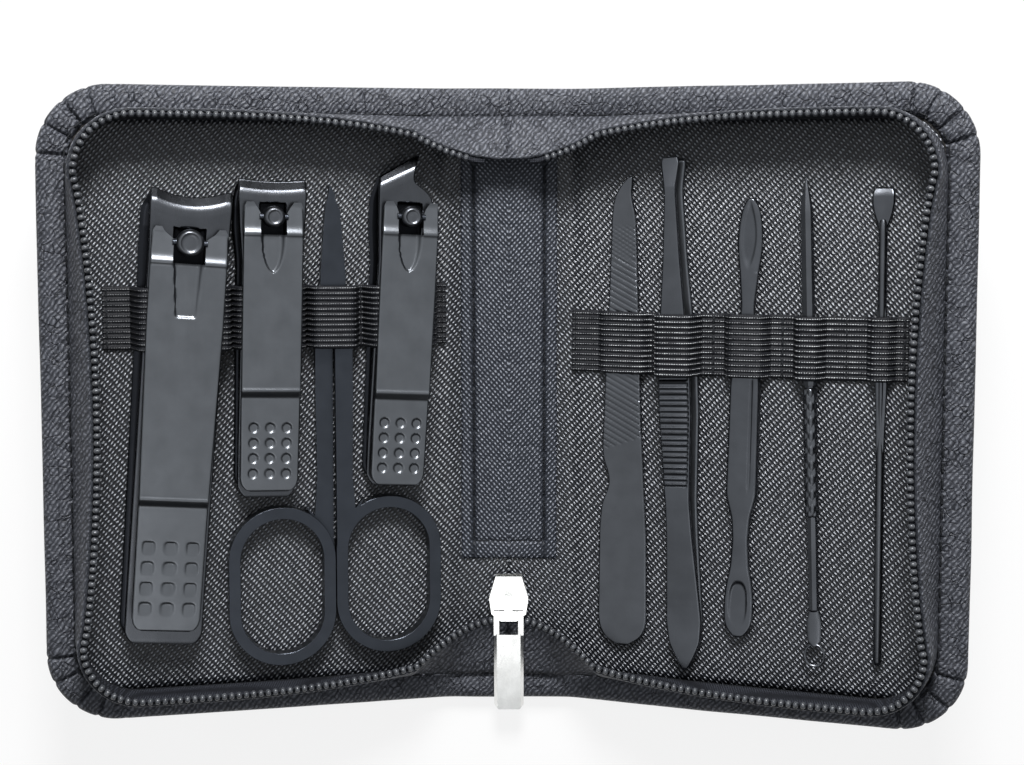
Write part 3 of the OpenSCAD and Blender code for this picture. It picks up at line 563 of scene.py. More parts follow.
def wall_line(side, n=12):
    """One side's wall from the top's middle round to the bottom's, as functions of (q, d)."""
    shares = [0.5 * (1 - i / n) if side < 0 else 1 - 0.5 * (1 - i / n) for i in range(n)]
    top = [lambda q, d, t=t: bridge_pos(1, t, q, d) for t in shares]
    bottom = [lambda q, d, t=t: bridge_pos(-1, t, q, d) for t in reversed(shares)]
    high = WALL_TOP - 0.45 - TRAY_TOP
    wall = [lambda q, d, s=s: tray(side, *wall_uvw(s, TRAY_TOP + 0.05 + q * high, d)) for s in STATIONS]
    return top + wall + bottom


def blend(o, side, start, end):
    """Bake the object's transform into its mesh; side, start and end are not used."""
    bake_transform(o)


# Outer shell
# the roll's section: (way in from the cover's edge, height)
ROLL = [(5.9, 1.9), (5.5, 2.45), (5.1, 2.75), (4.6, 2.95), (3.8, 3.02), (2.8, 3.02), (1.9, 2.98), (1.1, 2.75),
        (0.5, 2.35), (0.12, 1.85), (0.0, 1.4), (0.12, 0.95), (0.45, 0.5), (1.0, 0.16), (1.9, 0.02),
        (3.2, 0.0), (4.6, 0.0), (5.3, 0.12), (5.7, 0.5)]
PLEAT = 4.1
HINGE_BLEND = (HINGE_X - 3, HINGE_X + 3)
WALL_BLEND = (5, 13)


def corner_way(s, v):
    """How far round the corner from its diagonal, in mm of the roll's middle; None far from a corner."""
    cs, cv = COVER_END - CORNER_R, HALF - CORNER_R
    if s <= cs - 9 or v <= cv - 9:
        return None
    if s > cs and v > cv:
        return (math.atan2(v - cv, s - cs) - math.pi / 4) * (CORNER_R - 2.5)
    return 12.2 + max(cv - v, cs - s)


def roll_ring(side, station, along):
    """The roll's section at one station: pleats at the corners, creases and dents all round."""
    s, v, iu, iv = station[:4]
    q = corner_way(s, abs(v))
    near = 0.0 if q is None else smooth(15.0, 9.0, abs(q))
    t = (q or 0.0) / PLEAT + 0.35 * ripple(s, v, side, 0.1, 4) + 0.25 * side
    gap = abs(t - round(t)) * PLEAT
    pleat = near * (0.22 * math.cos(2 * math.pi * (t - 0.5)) - 1.9 * bell(gap, 0.3))
    crease = -bell(ripple(along, 0, side, 0.16, 41), 0.05) * (0.5 + 0.5 * ripple(along, 3, side, 0.05, 42))
    ring = []
    for d, w in ROLL:
        top = 1.0 if w > 1.4 else 0.25
        fold = (0.42 * pleat + 0.3 * crease) * min(1, 0.45 + d / 2.5) * top * (1 if d < 5.4 else 0.3)
        dent = 0.16 * ripple(s + 3 * d, v - 2 * d, side * 9, 0.13, 2 + side) * top
        high = min(3.5, max(0.0, w + fold + dent) if w > 0.2 else w)
        deep = d + (0.12 * (1 + ripple(s, v, 5 * side, 0.06, 8)) - 0.11 * min(0, pleat)) * (1 - d / 6)
        ring.append(soft(side, s + iu * deep, v + iv * deep, high))
    return ring


def build_roll(side):
    line = three_sides(0, COVER_END, HALF, CORNER_R, 110, 100, 150)
    cum = arclen([station[:2] for station in line])
    rings = [roll_ring(side, station, along) for station, along in zip(line, cum)]
    o = make(NAME[side] + "_rolled_edge", rings_mesh(rings), SHELL)
    blend(o, side, *HINGE_BLEND)
    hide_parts(NAME[side] + "_roll", "spine_rolls")
    # stitches in the groove inside the roll
    inset, high, pitch, length, thin = 5.05, 2.86, 2.7, 1.9, 0.2
    pts = [soft(side, s + iu * inset, v + iv * inset, high) for s, v, iu, iv, _, _ in line]
    cum = arclen(pts)
    n = int(cum[-1] / pitch)
    places = [sample(pts, cum, (i + 0.5) * cum[-1] / n) for i in range(n)]
    parts = [capsule(p, d, length, thin, upward(side)) for p, d in places if abs(p[0]) >= HINGE_X + 2]
    make(NAME[side] + "_edge_stitches", merge(parts), THREAD, NAME[side] + "_cover")


def laid_sheet(side, piece, mat, nodes, inset, corner, nv, ns, heights):
    """A thin sheet over a cover inside its roll; heights(s, v, way to its edge) gives its two faces."""
    lim, w_end = HALF - inset, COVER_END - inset
    r = CORNER_R - inset + corner

    def row(v):
        over = max(0.0, abs(v) - (lim - r))
        reach = w_end - r + math.sqrt(max(0.0, r * r - over * over))
        for j in range(ns + 1):
            s = reach * j / ns
            yield [soft(side, s, v, w) for w in heights(s, v, min(lim - abs(v), reach - s))]

    grid = [list(row(-lim + 2 * lim * i / nv)) for i in range(nv + 1)]
    o = make(NAME[side] + piece, surface(grid), mat)
    blend(o, side, *HINGE_BLEND)
    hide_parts(NAME[side] + nodes, "spine" + nodes)


def build_back(side):
    """The outer skin under the cover, drawn up at its edge."""
    laid_sheet(side, "_back_skin", SHELL, "_skin", inset=5.6, corner=1.0, nv=46, ns=60,
               heights=lambda s, v, e: (1.0, 0.35 * math.exp(-max(0.0, e) / 1.5)))


def build_lining(side):
    def heights(s, v, _):
        w = TRAY_TOP - 0.02 - 0.08 * abs(ripple(s, v, side, 0.05, 3)) - 0.5 * bell(s - HINGE_X, 1.6)
        return w, w - 0.55

    laid_sheet(side, "_tray_lining", LINING[side], "_lining", inset=5.75, corner=0.6, nv=70, ns=90,
               heights=heights)


def build_wall(side):
    shares = [0, 0.12, 0.3, 0.5, 0.7, 0.88, 0.97, 1.0]
    line = wall_line(side)
    mid = [f(0.5, 0) for f in line]
    rings = []
    for f, p, along in zip(line, mid, arclen(mid)):
        full = 0.25 + 0.35 * ripple(along, 0, side, 0.09, 11) + 0.18 * ripple(along, 5, side, 0.28, 12)
        full *= 0.6 * (1.0 if abs(p[0]) > 20 else 0.5)
        across_wall = [(q, math.sin(math.pi * q) * full, 0.15 if q in (0, 1.0) else 0) for q in shares]
        outer = [f(q, 0.02 - bulge + edge) for q, bulge, edge in across_wall]
        inner = [f(q, WALL_T - 0.02 - bulge - edge) for q, bulge, edge in reversed(across_wall)]
        rings.append(outer + inner)
    m = 2 * len(shares)
    face_mats = [0 if k % m < len(shares) - 1 else 1 for k in range(m * (len(rings) - 1))] + [1, 1]
    o = make(NAME[side] + "_soft_wall", rings_mesh(rings), [SHELL, WALL], face_mats=face_mats)
    blend(o, side, *WALL_BLEND)
    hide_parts(NAME[side] + "_wall", "top_bridge", "bottom_bridge")


def build_tape(side):
    shares = [0.3, 0.45, 0.6, 0.75, 0.9, 1.0, 1.045]
    rings = []
    for k, f in enumerate(wall_line(side)[3:-2]):
        slack = 0.12 * ripple(k * 0.3, 3, side, 0.4, 21)
        line = [(q, WALL_T + 0.12 + slack * math.sin(math.pi * q) ** 2) for q in shares]
        rings.append([f(q, d) for q, d in line] + [f(q, d + 0.5) for q, d in reversed(line)])
    o = make(NAME[side] + "_woven_tape", rings_mesh(rings), TAPE)
    blend(o, side, *WALL_BLEND)
    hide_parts(NAME[side] + "_tape")


def bead(p, d, up, w, t, h):
    """One turn of the coil: a rounded block, wider at its head."""
    a = up.cross(d).normalized()
    up = d.cross(a).normalized()
    rings = []
    for z, k, kd in ((0, 0.7, 0.8), (0.22, 0.98, 0.95), (0.5, 1.0, 1.0), (0.76, 0.86, 0.86),
                     (0.92, 0.58, 0.58), (1.0, 0.2, 0.2)):
        ring = []
        for q in circle(12, 0.5):
            c, s = math.cos(q), math.sin(q)
            square = 1 / max(abs(c), abs(s)) * 0.15 + 0.85
            x, y = w / 2 * kd * c * square, t / 2 * k * s * square
            ring.append(tuple(p + d * x + a * y + up * (h * z)))
        rings.append(ring)
    return rings_mesh(rings)


def build_teeth(side):
    pts = [f(1.0, WALL_T + 0.37) for f in wall_line(side)]
    cum = arclen(pts)
    start, pitch = cum[5], 1.3
    parts = []
    for i in range(int((cum[-2] - start) / pitch)):
        p, d = sample(pts, cum, start + (i + 0.5) * pitch)
        # upright over the spine, square to the tray along the covers
        k = min(1, max(0, (abs(p[0]) - 6) / 12))
        up = (Vector(upward(side)) * k + Vector((0, 0, 1)) * (1 - k)).normalized()
        parts.append(bead(Vector(p) + up * 0.28, d, up, w=1.0, t=1.25, h=1.15))
    o = make(NAME[side] + "_coil", merge(parts), COIL)
    blend(o, side, *WALL_BLEND)
    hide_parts(NAME[side] + "_teeth", "lead_teeth")


for side in NAME:
    build_back(side)
    build_roll(side)
    build_lining(side)
    build_wall(side)
    build_tape(side)
    build_teeth(side)


# The tools, each at (u, v, turn in degrees) of its working end.
# A clipper's length, lever_end and bend are measured from its jaw's edge, and so is its post, at jaw.
# The edge is hollowed by a radius, to a depth, and the lower arm shows by so much beside the upper one.
CLIP = {
    "large": dict(at=(46.9, 38.2, 4.5), length=81, jaw=9, width=14.2, rear=13.8, lever_w=13.4, pad_w=12.0,
                  lever_end=77.8, bend=54.27, plate=1.4, high=6.0, slant=0, square=True, tongue=9.5,
                  slot=2.75, head=2.4, beside=1.35, edge_radius=15.4, edge_depth=1.2, pocket=7.5),
    "small": dict(at=(32.7, 40.198, 1.6), length=57, jaw=6.5, width=12.0, rear=10.6, lever_w=10.6, pad_w=10.4,
                  lever_end=55.4, bend=37.335, plate=1.2, high=5.1, slant=0, square=False, tongue=6.6,
                  slot=2.25, head=1.9, beside=0.75, edge_radius=40.0, edge_depth=0.35, pocket=5.5),
    "slant": dict(at=(7.8, 42.4, 3.2), length=58, jaw=8.8, width=11.4, rear=10.2, lever_w=10.2, pad_w=9.8,
                  lever_end=57.5, bend=40.6, plate=1.2, high=5.1, slant=2.4, square=False, tongue=6.6,
                  slot=2.25, head=1.9, beside=1.0, edge_radius=40.0, edge_depth=0.35, pocket=5.4),
}
FILE_AT, TWEEZER_AT, PUSHER_AT = (10.8, 40.7, 0.1), (20, 44.3, 2), (34.5, 37, -1.2)
NEEDLE_AT, PICK_AT = (44.1, 40.8, 1.9), (57.55, 38.9, 0.3)
SCISSORS_U, SCISSORS_H = 21.8, 4.0
TWEEZER_H, PUSHER_H, NEEDLE_R, PICK_R, POST_R = 4.6, 2.6, 1.3, 0.78, 1.9


# Padded strip on the spine
def build_strip():
    """The spine's padded strip: a flat margin outside each stitch line, a hem across the lower end."""
    y0, y1, w = -30.0, 49.0, 17.7 / 2
    ny, nx = 260, 84
    hem = y0 + 3.4
    hem_pitch = STRIP_PITCH * 0.793
    holes = [(sx * STRIP_LINE, hem + STRIP_PITCH * k)
             for sx in (-1, 1) for k in range(int((y1 - hem - 1) / STRIP_PITCH) + 1)]
    holes += [(-STRIP_LINE + hem_pitch * k, hem) for k in (1, 2, 3)]

    def height(x, y, near):
        a = abs(x)
        pad = 0.36 + 0.16 * (1 - bell(a - STRIP_LINE, 1.3)) * (1 if a < STRIP_LINE else 0.55)
        groove = 0.26 * bell(a - STRIP_LINE, 0.24) * smooth(hem - 0.4, hem, y)
        groove = max(groove, 0.26 * bell(y - hem, 0.24) * (1 if a < STRIP_LINE + 0.2 else 0))
        for hx, hy in near:
            q = ((x - hx) ** 2 + (y - hy) ** 2) / 0.12
            if q < 6:
                groove += 0.34 * math.exp(-q)
        fold = 0.1 * bell(ripple(x, y, 0, 0.16, 61), 0.06)
        end = 1 - math.exp(-max(0, y - y0) / 0.35)
        side = 1 - math.exp(-max(0, w - a) / 0.25)
        full = (pad - fold + 0.03 * ripple(x, y, 0, 0.4, 7)) * (0.3 + 0.7 * end * side)
        return 2.9 + max(0.03, full - groove)

    grid = []
    for i in range(ny + 1):
        y = y0 + (y1 - y0) * i / ny
        near = [hole for hole in holes if abs(hole[1] - y) < 1]
        sway = 0.12 * ripple(0, y, 0, 0.07, 31)
        line = [-w + 2 * w * j / nx for j in range(nx + 1)]
        grid.append([[(x + sway * abs(x) / w, y, z) for z in (height(x, y, near), 2.84)] for x in line])
    o = make("spine_padded_strip", surface(grid), STRIP, "spine")
    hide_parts("spine_strip")
    high, thin = 3.16, 0.15
    parts = [capsule((x, hem + STRIP_PITCH * (k + 0.5), high), (0, 1, 0), STRIP_PITCH - 0.7, thin)
             for x in (-STRIP_LINE, STRIP_LINE) for k in range(int((y1 - hem - 1) / STRIP_PITCH))]
    parts += [capsule((-STRIP_LINE + hem_pitch * (k + 0.5), hem, high), (1, 0, 0), hem_pitch - 0.6, thin)
              for k in range(4)]
    make("spine_strip_stitches", merge(parts), THREAD, "spine")


# Ribbed elastic bands
def eased(line, r=0.8, n=5):
    """The path with its corners rounded."""
    out = [line[0]]
    for a, b, c in zip(line, line[1:], line[2:]):
        b = Vector(b)
        to_a, to_c = Vector(a) - b, Vector(c) - b
        k = min(r, to_a.length * 0.45, to_c.length * 0.45)
        p, q = b + to_a.normalized() * k, b + to_c.normalized() * k
        for i in range(n + 1):
            t = i / n
            out.append(tuple(p * (1 - t) ** 2 + b * 2 * t * (1 - t) + q * t * t))
    out.append(line[-1])
    return out


def resample(line, step):
    cum = arclen(line)
    n = max(2, int(cum[-1] / step))
    out, j = [], 0
    for i in range(n + 1):
        s = cum[-1] * i / n
        while j < len(cum) - 2 and cum[j + 1] < s:
            j += 1
        out.append(lerp(line[j], line[j + 1], (s - cum[j]) / max(1e-9, cum[j + 1] - cum[j])))
    return out


def band_path(pockets, u0, u1, base):
    """The band's inner line in (u, w) and its normals: up over each pocket (u, half width, height)."""
    line = [(u0, base)]
    for m, half, h in pockets:
        w, top = half + 0.3, h + 0.5 + TRAY_TOP
        rise = [(w + 0.72, base), (w + 0.12, base + (top - base) * 0.55), (w - 0.55, top - 0.02),
                (w * 0.4, top + 0.05)]
        line += [(m - x, z) for x, z in rise] + [(m + x, z) for x, z in reversed(rise)]
    path = resample(eased(line + [(u1, base)]), 0.28)
    normals = []
    for i in range(len(path)):
        a, b = path[max(0, i - 1)], path[min(len(path) - 1, i + 1)]
        d = Vector((b[0] - a[0], b[1] - a[1])).normalized()
        normals.append((-d.y, d.x))
    return path, normals


def build_elastic(side, pockets, u0, u1):
    base = TRAY_TOP + 0.06
    path, normals = band_path(pockets, u0, u1, base)
    rows = BAND_RIBS * 6
    grid = []
    for j in range(rows + 1):
        t = j / rows
        v = BAND_V[side] + BAND_W * (t - 0.5)
        rib = abs(math.sin(math.pi * t * BAND_RIBS)) ** 0.7
        thick = 0.34 + 0.26 * rib * min(1, min(t, 1 - t) * 40)
        grid.append([])
        for (u, w), (nu, nw) in zip(path, normals):
            bow = 0.12 * math.sin(u * 0.21 + 1) + 0.1 * ripple(u, 0, side, 0.06, 17)
            sag = -0.06 * min(1.0, (w - base) / 2.5) * math.sin(math.pi * t)
            grid[-1].append([tray(side, u + nu * k, v + bow, w + nw * k + sag) for k in (thick, 0)])
    o = make(NAME[side] + "_ribbed_band", surface(grid), ELASTIC[side], NAME[side] + "_cover")
    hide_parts(NAME[side] + "_elastic")
    # stitches between the tools and at both ends
    gaps = [(a[0] + a[1] + b[0] - b[1]) / 2 for a, b in zip(pockets, pockets[1:])]
    parts = []
    for u in [u0 + 0.7] + gaps + [u1 - 0.7]:
        for i in range(6):
            v = BAND_V[side] - BAND_W / 2 + 1.1 + i * (BAND_W - 2.2) / 5
            parts.append(capsule(tray(side, u, v, base + 0.62), (0, 1, 0), 1.5, 0.17, upward(side)))
    make(NAME[side] + "_band_stitches", merge(parts), THREAD, NAME[side] + "_cover")


def under_band(side, at, half, h):
    """A tool's pocket where it passes under the middle of the band."""
    return at[0] + (at[1] - BAND_V[side]) * math.tan(math.radians(at[2])), half, h


def clip_pocket(n):
    return under_band(-1, CLIP[n]["at"], CLIP[n]["pocket"], CLIP[n]["high"])


build_strip()
build_elastic(-1, [clip_pocket("slant"), (SCISSORS_U, 3.5, SCISSORS_H), clip_pocket("small"),
                   clip_pocket("large")], 0.6, 62.5)
build_elastic(1, [under_band(1, FILE_AT, 3.45, 1.2), under_band(1, TWEEZER_AT, 2.9, TWEEZER_H),
                  under_band(1, PUSHER_AT, 2.8, PUSHER_H),
                  under_band(1, NEEDLE_AT, NEEDLE_R + 0.2, 2 * NEEDLE_R),
                  under_band(1, PICK_AT, 1.2, 2 * PICK_R + 0.03)], 0.8, 62.3)


# Tools as height fields
def place(side, at, x, y, z):
    """A point of a tool's own frame, which has its origin at and z from the tray's floor."""
    a = math.radians(at[2])
    c, s = math.cos(a), math.sin(a)
    return tray(side, at[0] + x * c - y * s, at[1] + x * s + y * c, FLOOR + z)


def lookup(rows, y):
    """Linear look-up in rows of (y, value), sorted by falling y."""
    if y >= rows[0][0]:
        return rows[0][1]
    for (ya, va), (yb, vb) in zip(rows, rows[1:]):
        if y >= yb:
            return va + (vb - va) * (ya - y) / (ya - yb)
    return rows[-1][1]


def curve(rows, ease=0.8):
    """The look-up with its corners eased, but kept as it is at both ends."""
    hi, lo = rows[0][0], rows[-1][0]

    def f(y):
        k = min(ease, max(0.0, hi - y), max(0.0, y - lo))
        return sum(lookup(rows, y + k * d) for d in (-1, -0.5, 0, 0.5, 1)) / 5
    return f


def groove(t, w):
    """1 in a narrow line at whole numbers of t."""
    return bell(t - round(t), w)


def across(left, right, gap, nx):
    """Places across a plate, closer at its edges; with a gap, the slot has columns of its own."""
    if gap is None:
        inner = [0.5 - 0.5 * math.cos(math.pi * (0.06 + 0.88 * i / nx)) for i in range(1, nx)]
        return [left + (right - left) * t for t in [0, *inner, 1]]
    a = nx // 3
    m = nx - 2 * a
    return ([left + (-gap - left) * i / a for i in range(a)] + [-gap + 2 * gap * i / m for i in range(m)]
            + [gap + (right - gap) * i / a for i in range(a + 1)])


def field(name, side, at, ys, right, faces, mat, body, node, nx, edge, rim,
          left=None, notch=None, cut=0):
    """A plate in a tool's own frame: y along it, left(y)..right(y) across it, its faces functions of (x, y).

    With no left it is the same both ways. notch(y) is half the width of a slot, cut out from y = cut on.
    """
    grid = []
    for y in ys:
        x1 = right(y)
        x0 = left(y) if left else -x1
        gap = min(notch(y), (x1 - x0) / 2 - 0.05) if notch else None
        grid.append([])
        for x in across(x0, x1, gap, nx):
            k = max(0.0, 1 - min(x - x0, x1 - x, y - ys[0], ys[-1] - y) / edge) ** 2
            zt, zb = (f(x, y) for f in faces)
            heights = max(zt - rim * k, zb + 0.02), min(zb + rim * 0.6 * k, zt - 0.02)
            grid[-1].append([place(side, at, x, y, z) for z in heights])
    slot_columns = range(nx // 3, nx - nx // 3) if notch else ()
    mesh = surface(grid, lambda i, j: j not in slot_columns or ys[i] < cut)
    o = make(name, mesh, mat, body)
    m = o.modifiers.new("shade", "WEIGHTED_NORMAL")
    m.keep_sharp = True
    sharp_edges(o, 50)
    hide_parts(node)


# Clippers
def build_lever(n, c):
    pin_z = c["high"] + 1.3
    bend, end = c["jaw"] - c["bend"], c["jaw"] - c["lever_end"]
    w, v, slot, square = c["lever_w"] / 2, c["pad_w"] / 2, c["slot"], c["square"]
    ears = -slot - 0.9
    half = [(2.6, w * 0.9), (1.8, w * 0.97), (0.6, w * 0.985), (-2, w), (-14, w), (bend, v + 0.1),
            (end + 2.2, v), (end + 1.2, v - 0.25), (end + 0.5, v - 0.75), (end + 0.15, v - 1.3),
            (end, v - 1.9)]
    notch = curve([(2.6, w - 1.75), (2.2, w - 2.0), (1.5, w - 2.5), (0.7, slot + 0.1), (0.2, slot - 0.1),
                   (-0.6, slot + 0.05), (ears, slot + 0.05), (end, slot)], 0.4)
    px, py, y_last = (3.85, 3.65, 4.0) if square else (2.95, 2.75, 3.2)
    dimples = [(i * px, end + y_last + j * py) for i in (-1, 0, 1) for j in range(4)]

    def pad_drop(y):
        return 0.4 * max(0, bend - 2 - y) / max(1, bend - 2 - end)

    def tongue(x, y):
        """The pressed tongue behind the post, steeper and wider on the side away from the light."""
        q = (ears - y) / c["tongue"]
        if not -0.05 < q < 1.0:
            return 0.0
        shape = 1 - 0.32 * max(0, q) if square else (1 - max(0, q) ** 2.2) ** 0.55
        wall = (1.0 if x < 0 else 0.45) * (1 - 0.55 * max(0, q))
        inside = smooth(0, wall, (slot - 0.05) * shape - abs(x))
        if square:
            inside *= smooth(0, 0.4, (1 - q) * c["tongue"])
        return inside * (0.78 - 0.4 * max(0, q)) * smooth(-0.05, 0.0, q)

    def dimple(dx, dy):
        if square:
            e = ((abs(dx) / 1.1) ** 4 + (abs(dy) / 1.15) ** 4) ** 0.25
            return 0.3 * smooth(1.04, 0.86, e) * (0.55 + 0.45 * dy / 1.15)
        e = math.hypot(dx, dy) / 0.95
        return 0.42 * smooth(1.04, 0.72, e) * (0.75 + 0.25 * dy / 0.95 - 0.2 * dx / 0.95)

    def top(x, y):
        z = pin_z + 0.9 - 0.05 * (x / w) ** 2
        d = y - ears
        z += 0.3 * bell(d - 0.15, 0.8 if d > 0.15 else 0.42) - 0.09 * max(0, d - 0.1)
        z += 0.16 * bell(y - bend - 0.2, 0.3) - 0.78 * smooth(0, 1.4, bend - y)
        z -= pad_drop(y) + tongue(x, y)
        for px, py in dimples:
            if abs(x - px) < 1.5 and abs(y - py) < 1.5:
                z -= dimple(x - px, y - py)
        return z

    def low(x, y):
        return pin_z + 0.06 + 0.5 * max(0, y - 0.4) / 2.2 - 0.9 * smooth(0, 2, bend - y) - pad_drop(y)

    ys = steps(end, 2.6, 0.22)
    nearest = min(range(len(ys)), key=lambda i: abs(ys[i] - ears))
    ys[nearest] = ears
    field(n + "_lever_plate", -1, c["post_at"], ys, lambda y: lookup(half, y), (top, low), LEVER,
          n + "_lever", n + "_lever", nx=66, edge=0.3, rim=0.2, notch=notch, cut=ears)
    # cross pin through the post
    pin = [[place(-1, c["post_at"], x, 0.56 * math.cos(a), pin_z + 0.6 + 0.56 * math.sin(a))
            for a in circle(20)] for x in (-slot - 0.3, slot + 0.3)]
    bevel(make(n + "_lever_pin", rings_mesh(pin), RING, n + "_lever"), 0.08)


# The slanted jaw's hollowed side: half width from the post's line
NECK = [(12.4, 1.95), (11.3, 1.7), (10.4, 1.35), (9, 0.85), (8.1, 0.64), (6.7, 0.53), (5.9, 0.95), (5.0, 2.5),
        (3.7, 3.9), (1.9, 4.4), (-2, 4.75)]


def jaw_edge(c, x):
    """The jaw's edge: hollowed on the straight ones, slanted on the other."""
    jaw, arc = c["jaw"], c["edge_radius"]
    if c["slant"]:
        return min(jaw + 2.5, jaw - 1.9 + 0.65 * (5.1 - x))
    return min(jaw, jaw + arc - c["edge_depth"] - math.sqrt(max(0, arc * arc - x * x)))


def build_lower(n, c):
    """The lower arm: it shows beside the upper one, on the side away from the spine."""
    t, h, jaw, slant, more = c["plate"], c["high"], c["jaw"], c["slant"], c["beside"]
    y0, w, r = jaw - c["length"], c["width"] / 2, c["rear"] / 2
    tip = jaw + slant
    front = NECK if slant else [(jaw + 3, w), (jaw - 3, w), (-2, w - 0.25)]
    left = curve(front + [(-8, r), (y0 + 2, r), (y0, r - 1.6)], 0.5)
    right = curve([(tip + 1, w - 0.5), (jaw - slant - 0.6, w + 0.05), (jaw - slant - 3.6, w + more),
                   (-2, w + more), (-8, r + more), (y0 + 3, r + 0.6 * more), (y0, r - 1.6)], 0.8)
    upper_face = [(tip, h * 0.55), (tip * 0.9, h * 0.53), (tip * 0.68, h * 0.12 + t), (tip * 0.25, t),
                  (y0, t)]
    lower_face = [(tip, h * 0.42), (tip * 0.8, h * 0.12), (tip * 0.35, 0.02), (y0, 0.02)]
    ny, nx = 140, 36
    grid = []
    for i in range(ny + 1):
        back = (1 - i / ny) ** 1.3
        grid.append([])
        for j in range(nx + 1):
            u = -1 + 2 * j / nx
            x = u * w
            # rows follow the edge near the jaw
            for _ in range(4):
                y = y0 + (jaw_edge(c, x) + (0.1 if slant else 0.12) - y0) * (1 - back)
                x = u * (right(y) if u > 0 else left(y) - 0.05)
            zt, zl = lookup(upper_face, y), lookup(lower_face, y)
            k = max(0.0, 1 - min(x + left(y), right(y) - x, y - y0) / 0.3) ** 2
            heights = zt - 0.2 * k, min(zl + 0.1 * k, zt - 0.25)
            grid[-1].append([place(-1, c["post_at"], x, y, z) for z in heights])
    # the lower plate takes the near-black steel, painted shade
    o = make(n + "_lower_plate", surface(grid), PAINTED_SHADE_LOWER_STEEL, n + "_clipper")
    sharp_edges(o, 50)
    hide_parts(n + "_lower_arm")


def build_upper(n, c):
    t, h, jaw, slant = c["plate"], c["high"], c["jaw"], c["slant"]
    y0, w, r = jaw - c["length"], c["width"] / 2, c["rear"] / 2
    tail = [(-8, r), (y0 + 2, r), (y0 + 1, r - 0.5), (y0 + 0.3, r - 1.1), (y0, r - 1.6)]
    half = [(jaw + 3, w), (jaw - 3, w), (-2, w - 0.25)] + tail
    neck = curve(NECK + tail, 0.5)
    crown = [(-5, h), (y0 + 9, 2 * t + 0.1), (y0, 2 * t + 0.1)]
    lower_face = [(jaw + 4, h * 0.71), (jaw - 0.9, h * 0.71), (jaw * 0.5, h - t - 0.08), (-5, h - t + 0.02),
                  (y0 + 9, t + 0.12), (y0, t + 0.12)]
    ny, nx = 230, 60
    grid, dark = [], {}
    for i in range(ny + 1):
        back = (1 - i / ny) ** 1.35
        grid.append([])
        for j in range(nx + 1):
            u = -1 + 2 * j / nx
            u = math.copysign(abs(u) ** 0.8, u)
            x = u * w
            # rows follow the edge near the jaw
            for _ in range(4):
                y = y0 + (jaw_edge(c, x) - y0) * (1 - back)
                wide = neck(y) if slant and u < 0 else lookup(half, y)
                x = u * wide
            e = jaw_edge(c, x) - y
            bevel_w = 1.5 - 0.12 * x if slant else 1.5
            # the bevel, the roll behind it and a low rise behind that
            z = lookup(crown, y) - 0.06 * (x / w) ** 2 - (0.68 if slant else 0.78) * max(0.0, bevel_w - e)
            z -= 0.26 * max(0.0, min(1.0, (bevel_w + 1.1 - e) / 1.1)) ** 2
            z += 0.07 * bell(e - bevel_w - 2.0, 0.9)
            k = max(0.0, 1 - min(wide - abs(x), y - y0) / 0.25) ** 2
            zl = lookup(lower_face, y)
            if e < 1:
                zl = max(zl, h * 0.71)
            pit = smooth(0.0, 0.25, c["slot"] + 0.1 - abs(x)) * smooth(2.6, 2.2, y) * smooth(-6.2, -5.8, y)
            z = max(zl + 0.12, max(z, zl + 0.05) - 0.95 * pit)
            # cells deep in the slot's pit get the near-black steel, painted shade
            dark[i, j] = pit > 0.3
            heights = z - 0.18 * k, min(zl + 0.1 * k, z - 0.19 * k - 0.02)
            grid[-1].append([place(-1, c["post_at"], x, y, height) for height in heights])
    mesh = surface(grid)
    shaded = [int(upper and dark[i, j] and dark[i + 1, j + 1])
              for i in range(ny) for j in range(nx) for upper in (True, False)]
    shaded += [0] * (len(mesh[1]) - len(shaded))
    o = make(n + "_upper_plate", mesh, [ARM, PIT], n + "_jaw", shaded)
    sharp_edges(o, 50)
    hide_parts(n + "_upper_arm")


def build_post(n, c):
    """A shaft and a wider head with a rounded rim and a dished end."""
    top, neck, grow = c["high"] + 3.3, c["high"] + 0.9, c["head"] - POST_R
    head = [(0, neck + 0.1), (0, top - 0.75), (0.08, top - 0.45), (0.45, top - 0.12), (0.62, top - 0.05),
            (0.75, top - 0.1), (0.85, top - 0.2), (1.1, top - 0.24), (1.55, top - 0.2)]
    prof = [(0.35, 0.0), (POST_R, 0.0), (POST_R, neck)]
    prof += [(POST_R - d + grow * (1 if POST_R - d > 0.9 else 0.4), z) for d, z in head]
    rings = [[place(-1, c["post_at"], r * math.cos(a), r * math.sin(a), z) for a in circle(40)]
             for r, z in prof]
    o = make(n + "_round_post", rings_mesh(rings), STEEL, n + "_clipper")
    sharp_edges(o, 50)
    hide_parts(n + "_post")


for n, c in CLIP.items():
    # a clipper's own frame has its post at the origin, behind the jaw's edge
    u, v, turn = c["at"]
    a = math.radians(turn)
    c["post_at"] = (u + c["jaw"] * math.sin(a), v - c["jaw"] * math.cos(a), turn)
    build_lever(n, c)
    build_upper(n, c)
    build_post(n, c)
    build_lower(n, c)


